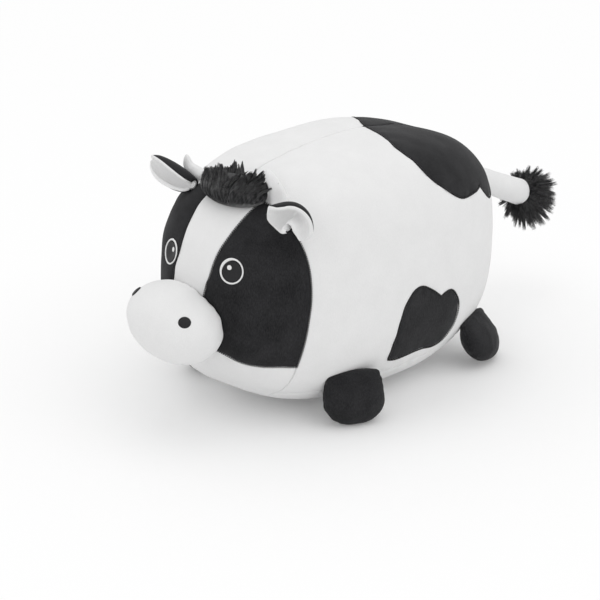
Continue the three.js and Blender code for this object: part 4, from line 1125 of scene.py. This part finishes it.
def foot(hand, end, side, place_y, splay, heading, sweep):
    start = from_side(np.array([[place_y, FOOT_HEIGHT + REST_FLAT_DEPTH - HALF_HEIGHT]]))[0][0]
    to_foot = limb_frame(raised(start, FOOT_LIFT), side, 0, splay, heading)
    body = f"{hand}_{end}_foot"
    rings = foot_rings(0, sweep)
    columns = rings.shape[1]
    normals = unit_of((rings - rings.mean(1, keepdims=True)) * (1 / 15.5, 1 / 31.5, 0), 1e-9)
    seam_off = np.abs(rings[..., 0])
    stand = -0.9 * np.exp(-((seam_off / 1.3) ** 2)) + 0.3 * waves(31, 26)(rings) + 0.12 * waves(32, 12)(rings)
    stand += 0.4 * waves(33, 9)(rings * (0, 1, 1)) * np.exp(-seam_off / 4)
    sewn = rings + normals * stand[..., None]
    for name, first, away in (("outer", 0, 1), ("inner", columns // 2, -1)):
        index = (np.arange(columns // 2 + 1) + first) % columns
        upper = sewn[:, index]
        lower = upper - normals[:, index] * PANEL_THICKNESS
        for grid in (upper, lower):
            edges = grid[:, [0, -1], 0]
            grid[:, [0, -1], 0] = np.where(np.abs(edges) < 0.1, 0.08 * away, edges)
        node = f"{body}_{name}_panel"
        piece(f"{body}_{name}_cloth", closed_sheet(upper, lower), "black_plush", body, node, place=to_foot,
              sharp=LIMB_SHARP)
    inner = foot_rings(LIMB_INSET, sweep, 24, 48)
    filling = closed_rings((0, 0, KNUCKLE - 2.0), inner, (0, sweep, LIMB_INSET - FOOT_LENGTH))
    piece(f"{body}_filling", filling, "fibre_fill", body, f"{body}_stuffing", place=to_foot, fill=0.85)


for hand, side in HANDS:
    for end, *numbers in FEET:
        foot(hand, end, side, *numbers)


# Tail

TAIL_ROOT_RADIUS, TAIL_END_RADIUS, TAIL_LENGTH = 11.0, 15.0, 124.0
TAIL_HEIGHT, TAIL_LIFT, TAIL_TILT = 41.0, 6.0, -24.0
TAIL_REACH = REAR_LENGTH * (1 - (TAIL_HEIGHT / HALF_HEIGHT) ** REAR_FULLNESS) ** (1 / REAR_FULLNESS)
to_tail = limb_frame(raised(np.array([0.0, TAIL_REACH, TAIL_HEIGHT]), TAIL_LIFT), 1, TAIL_TILT, 0, 0)


def tail_rings(inset, rows=70, columns=64):
    turn = turns(columns)
    rings = []
    for y in np.linspace(-TAIL_ROOT_RADIUS * 0.55, TAIL_LENGTH, rows):
        grow = TAIL_ROOT_RADIUS + (TAIL_END_RADIUS - TAIL_ROOT_RADIUS) * max(y, 0) / TAIL_LENGTH
        radius = (math.sqrt(TAIL_ROOT_RADIUS ** 2 - y ** 2) if y < 0 else grow) - inset
        rings.append(together(radius * np.cos(turn), y, radius * np.sin(turn)))
    return np.array(rings)


def tail_cover():
    """The tube of cloth, with its seam underneath and its end drawn in."""
    rings = tail_rings(0)
    x, y, z = np.moveaxis(rings, -1, 0)
    normals = unit_of(rings * (1, 0, 1))
    stand = 0.35 * waves(41, 40)(rings) + 0.12 * waves(42, 16)(rings)
    stand += -0.7 * np.exp(-((x / 1.1) ** 2)) * (z < 0) - 1.2 * np.exp(-((TAIL_LENGTH - y) / 1.6) ** 2)
    upper = rings + normals * stand[..., None]
    lower = upper - normals * PANEL_THICKNESS
    rows, columns = rings.shape[:2]
    count = rows * columns
    faces = [f[::-1] for f in grid_faces(rows, columns)]
    faces += [tuple(i + count for i in f[::-1]) for f in faces]
    last = count - columns
    for c in range(columns):
        d = (c + 1) % columns
        faces += [(c, c + count, d + count, d), (last + c, last + d, count + last + d, count + last + c)]
    return np.vstack([upper.reshape(-1, 3), lower.reshape(-1, 3)]), faces


piece("tail_cloth", tail_cover(), "white_plush", "tail", "tail_cover", place=to_tail, sharp=LIMB_SHARP)
filling = closed_rings((0, -8.0, 0), tail_rings(LIMB_INSET, 30, 32), (0, TAIL_LENGTH + 1, 0))
piece("tail_filling", filling, "fibre_fill", "tail", "tail_stuffing", place=to_tail, fill=0.8)


# Long-pile fur

STRAND_SIDE = (0.3, 0.2, 0.9)


def strand(points, radius):
    """A thin tapered fibre of three sides along its points."""
    count = len(points)
    along = unit_of(np.gradient(points, axis=0), 1e-9)
    across = unit_of(np.cross(along, STRAND_SIDE), 1e-9)
    up = np.cross(across, along)
    size = radius * (1 - 0.93 * (np.arange(count) / (count - 1)) ** 1.6)
    return np.stack([points + (across * math.cos(t) + up * math.sin(t)) * size[:, None] for t in turns(3)], 1)


def fur_mesh(strands):
    """All strands as one mesh, each closed at both ends."""
    strands = np.array(strands)
    number, count = strands.shape[:2]
    base = halves(grid_faces(count, 3)) + [(0, 2, 1), (count * 3 - 3, count * 3 - 2, count * 3 - 1)]
    faces = np.array(base)[None] + (np.arange(number) * count * 3)[:, None, None]
    return strands.reshape(-1, 3), faces.reshape(-1, 3)


rng = np.random.default_rng(7)

FORELOCK_ROOT = raised(surface_above(5.0, -145.0), 3.0)
FORELOCK_SIZE = np.array([46.0, 24.0, 20.0])
FORELOCK_STRANDS, FORELOCK_LOCKS, FORELOCK_STEPS, FORELOCK_STRAND_RADIUS = 15000, 420, 9, 0.45
FORELOCK_CAP, FORELOCK_CAP_TOP, FORELOCK_GATHERED = 0.76, 15.2, 0.8
FORELOCK_TOPS, FORELOCK_SHORTEST, FORELOCK_LONGEST = (15.0, 25.5), 7, 30
PARTING = 5.0


def locks_of(roots, number):
    """The strands chosen as the middles of locks, and the lock that each strand belongs to."""
    middles = rng.choice(len(roots), number, replace=False)
    near = tree_of(roots[middles])
    return middles, np.array([near.find(p)[1] for p in roots])


def gathered(lines, middles, own, share):
    """The strands drawn together into locks, more and more towards their tips."""
    pull = share * np.linspace(0, 1, lines.shape[1]) ** 1.2
    return lines + (lines[middles][own] - lines) * pull[None, :, None]


def combed(points):
    """The way the pile is combed: up on the cow's right, fanning out to its left, and apart at the parting."""
    fan = smooth_step(-0.2, 0.8, points[:, 0] / FORELOCK_SIZE[0])
    beside = points[:, 0] - PARTING
    apart = 0.75 * np.sign(beside) * np.exp(-((beside / 5.0) ** 2)) * smooth_step(6, 14, points[:, 2])
    return unit_of(together(-0.06 + 0.9 * fan + apart, 0.28, 1.05 - 0.2 * fan))


def forelock_cap():
    """The closed form under the strands, which lies on the head."""
    turn = turns(72)
    rings = []
    for tilt in np.linspace(0.05, math.pi - 0.05, 24):
        unit = together(np.sin(tilt) * np.cos(turn), np.sin(tilt) * np.sin(turn), math.cos(tilt))
        p = FORELOCK_ROOT + unit * FORELOCK_SIZE * FORELOCK_CAP
        low = body_measure(p)[0] < 1
        p[low] = to_body(p[low])
        rings.append(p)
    return closed_rings(FORELOCK_ROOT + (0, 0, FORELOCK_CAP_TOP), np.array(rings), to_body(FORELOCK_ROOT))


def forelock():
    """A cap of pile, its strands combed up over its front and ending in pointed locks."""
    unit = unit_of(rng.normal(size=(FORELOCK_STRANDS, 3)))
    root = FORELOCK_ROOT + unit * FORELOCK_SIZE * 0.86
    unit = unit[(body_measure(root)[0] > 1.0) & (unit[:, 1] < 0.75) & (unit[:, 2] < 0.93)]
    count = len(unit)
    at = unit * FORELOCK_SIZE * (0.84, 0.84, 0.7)
    at[:, 0] *= np.where(at[:, 0] < 0, 0.93, 1.0)
    loose = rng.normal(size=(count, 3))
    middles, own = locks_of(at, FORELOCK_LOCKS)
    top = rng.uniform(*FORELOCK_TOPS, len(middles))[own] - 7.0 * rng.uniform(0, 1, count) ** 3
    top = top - 3.0 * smooth_step(0.4, 0.95, unit[:, 0]) - 7.5 * smooth_step(0.25, 0.95, -unit[:, 0])
    long = np.clip((top - at[:, 2]) * 1.08, FORELOCK_SHORTEST, FORELOCK_LONGEST)
    line = [at]
    for k in range(1, FORELOCK_STEPS):
        n = unit_of(at / FORELOCK_SIZE ** 2)
        way = combed(at)
        cling = 1.0 - 0.75 * smooth_step(0.45, 0.95, n[:, 2])
        way = way - n * (np.einsum("ij,ij->i", way, n) * cling)[:, None]
        way = unit_of(way + n * (0.02 + 0.015 * k) + loose * 0.012 * k)
        at = at + way * (long / (FORELOCK_STEPS - 1))[:, None]
        line.append(at)
    lines = FORELOCK_ROOT + gathered(np.stack(line, 1), middles, own, FORELOCK_GATHERED)
    return joined(forelock_cap(), fur_mesh([strand(points, FORELOCK_STRAND_RADIUS) for points in lines]))


piece("forelock_fur", forelock(), "black_fur", "body", "forelock")

TUFT_BEYOND, TUFT_CORE, TUFT_SPREAD = 21.0, 21.0, 20.0
TUFT_STRANDS, TUFT_CLUMPS, TUFT_GATHERED, TUFT_STRAND_RADIUS = 5200, 190, 0.68, 0.5
TUFT_LENGTHS, TUFT_LONGER, TUFT_HANG = (25, 34), 4.5, 3.0


def tuft():
    """Fur gathered in the tail's end, spreading as a ball."""
    centre = np.array([0, TAIL_LENGTH + TUFT_BEYOND, 0])
    rings = centre + TUFT_CORE * ball_units(np.linspace(0.1, math.pi - 0.1, 16)[:, None], turns(32))
    core = closed_rings(centre - (0, 20, 0), rings, centre + (0, 20, 0))
    way = unit_of(rng.normal(size=(TUFT_STRANDS, 3)))
    way = way[way[:, 1] > -0.86]
    count = len(way)
    root = np.array([0, TAIL_LENGTH - 2, 0]) + way * (13, 6, 13)
    # the pile hangs a little, and is longest above and below
    long = rng.uniform(*TUFT_LENGTHS, (count, 1)) + TUFT_LONGER * np.abs(way[:, 2:])
    tips = centre + way * long - (0, 0, TUFT_HANG)
    clumps = tree_of(tips[rng.choice(count, TUFT_CLUMPS, replace=False)])
    near = np.array([clumps.find(t)[0] for t in tips])
    tips = tips + (near - tips) * TUFT_GATHERED
    steps = np.linspace(0, 1, 7)
    middles = root * 0.35 + (centre + way * TUFT_SPREAD) * 0.65
    lines = (bezier(controls, steps) for controls in zip(root, middles, tips))
    return joined(core, fur_mesh([strand(points, TUFT_STRAND_RADIUS) for points in lines]))


# the tuft's fur is the darker copy of the black fur, painted shade
piece("tail_fur", tuft(), "black_fur_painted_shade", "tail", "tail_tuft", place=to_tail)


# Stage, camera and lights

def seen_directly(tree):
    """One for rays from the camera, a mirror or glass, and nought for the rays that carry light."""
    kinds = tree.nodes.new("ShaderNodeLightPath").outputs
    found = kinds["Is Camera Ray"]
    for kind in ("Is Glossy Ray", "Is Transmission Ray"):
        found = calculated(tree, "MAXIMUM", found, kinds[kind])
    return found


FLOOR_FADE = (0.12, 0.5)


def stage_plane(name, size, z, colour, near, far):
    """The studio floor. Seen from above it fades to white away from the object: painted light, a glow seen only by the
    camera and in mirrors, weak near the object and strong far from it. It keeps its shadows.
    """
    made = mesh_object(name, [(-size, -size, z), (size, -size, z), (size, size, z), (-size, size, z)], [(0, 1, 2, 3)])
    look, tree, shader, at = new_material(name, colour, 0.9)
    coloured(tree, shader, noise_node(tree, at, 60.0), [c * 0.995 for c in colour], colour)
    away = tree.nodes.new("ShaderNodeVectorMath")
    away.operation = "LENGTH"
    tree.links.new(at, away.inputs[0])
    fade = tree.nodes.new("ShaderNodeMapRange")
    fade.interpolation_type = "SMOOTHSTEP"
    for entry, value in zip(("From Min", "From Max", "To Min", "To Max"), (*FLOOR_FADE, near, far)):
        fade.inputs[entry].default_value = value
    tree.links.new(away.outputs["Value"], fade.inputs["Value"])
    # painted light: a white glow that the camera sees and that lights nothing, growing with the distance from the
    # object
    white, mixed = tree.nodes.new("ShaderNodeEmission"), tree.nodes.new("ShaderNodeMixShader")
    share = calculated(tree, "MULTIPLY", seen_directly(tree), fade.outputs[0])
    for source, entry in zip((share, shader.outputs[0], white.outputs[0]), mixed.inputs):
        tree.links.new(source, entry)
    tree.links.new(mixed.outputs[0], tree.nodes["Material Output"].inputs["Surface"])
    made.data.materials.append(look)


stage_plane("floor", 4000.0, -0.05, grey(0.93), 0.1, 0.92)

CAMERA_DISTANCE, CAMERA_LENS, SENSOR_WIDTH = 2.0, 120.0, 36.0
azimuth, elevation = math.radians(43), math.radians(21)
back = Vector((math.sin(azimuth) * math.cos(elevation), -math.cos(azimuth) * math.cos(elevation), math.sin(elevation)))
aim = Vector((-13.65, -35.7, 80.8)) * MM
camera = bpy.data.objects.new("camera", bpy.data.cameras.new("camera"))
camera.data.sensor_width, camera.data.lens = SENSOR_WIDTH, CAMERA_LENS
camera.location = aim + back * CAMERA_DISTANCE
camera.rotation_euler = back.to_track_quat("Z", "Y").to_euler()
camera.data.clip_start, camera.data.clip_end = 0.1, 30.0
bpy.context.scene.collection.objects.link(camera)
bpy.context.scene.camera = camera

LIGHT_TARGET = Vector((0, 0, 0.1))


def area_light(name, place, size, power):
    light = bpy.data.lights.new(name, "AREA")
    light.shape, light.size, light.energy = "SQUARE", size, power
    made = bpy.data.objects.new(name, light)
    made.location = place
    made.rotation_euler = (Vector(place) - LIGHT_TARGET).to_track_quat("Z", "Y").to_euler()
    bpy.context.scene.collection.objects.link(made)


area_light("top_light", (0.2, 0.1, 2.2), 2.2, 11.5)
area_light("front_light", (-1.2, -1.9, 1.3), 1.6, 5.2)
area_light("flank_light", (2.1, -0.2, 0.8), 1.6, 4.2)

world = bpy.data.worlds.new("studio")
world.use_nodes = True
bpy.context.scene.world = world
background = world.node_tree.nodes["Background"]
background.inputs["Color"].default_value = (1, 1, 1, 1)
strength = calculated(world.node_tree, "MULTIPLY_ADD", seen_directly(world.node_tree), 0.2, 0.8)
world.node_tree.links.new(strength, background.inputs["Strength"])

bpy.context.scene.view_settings.view_transform = "Standard"
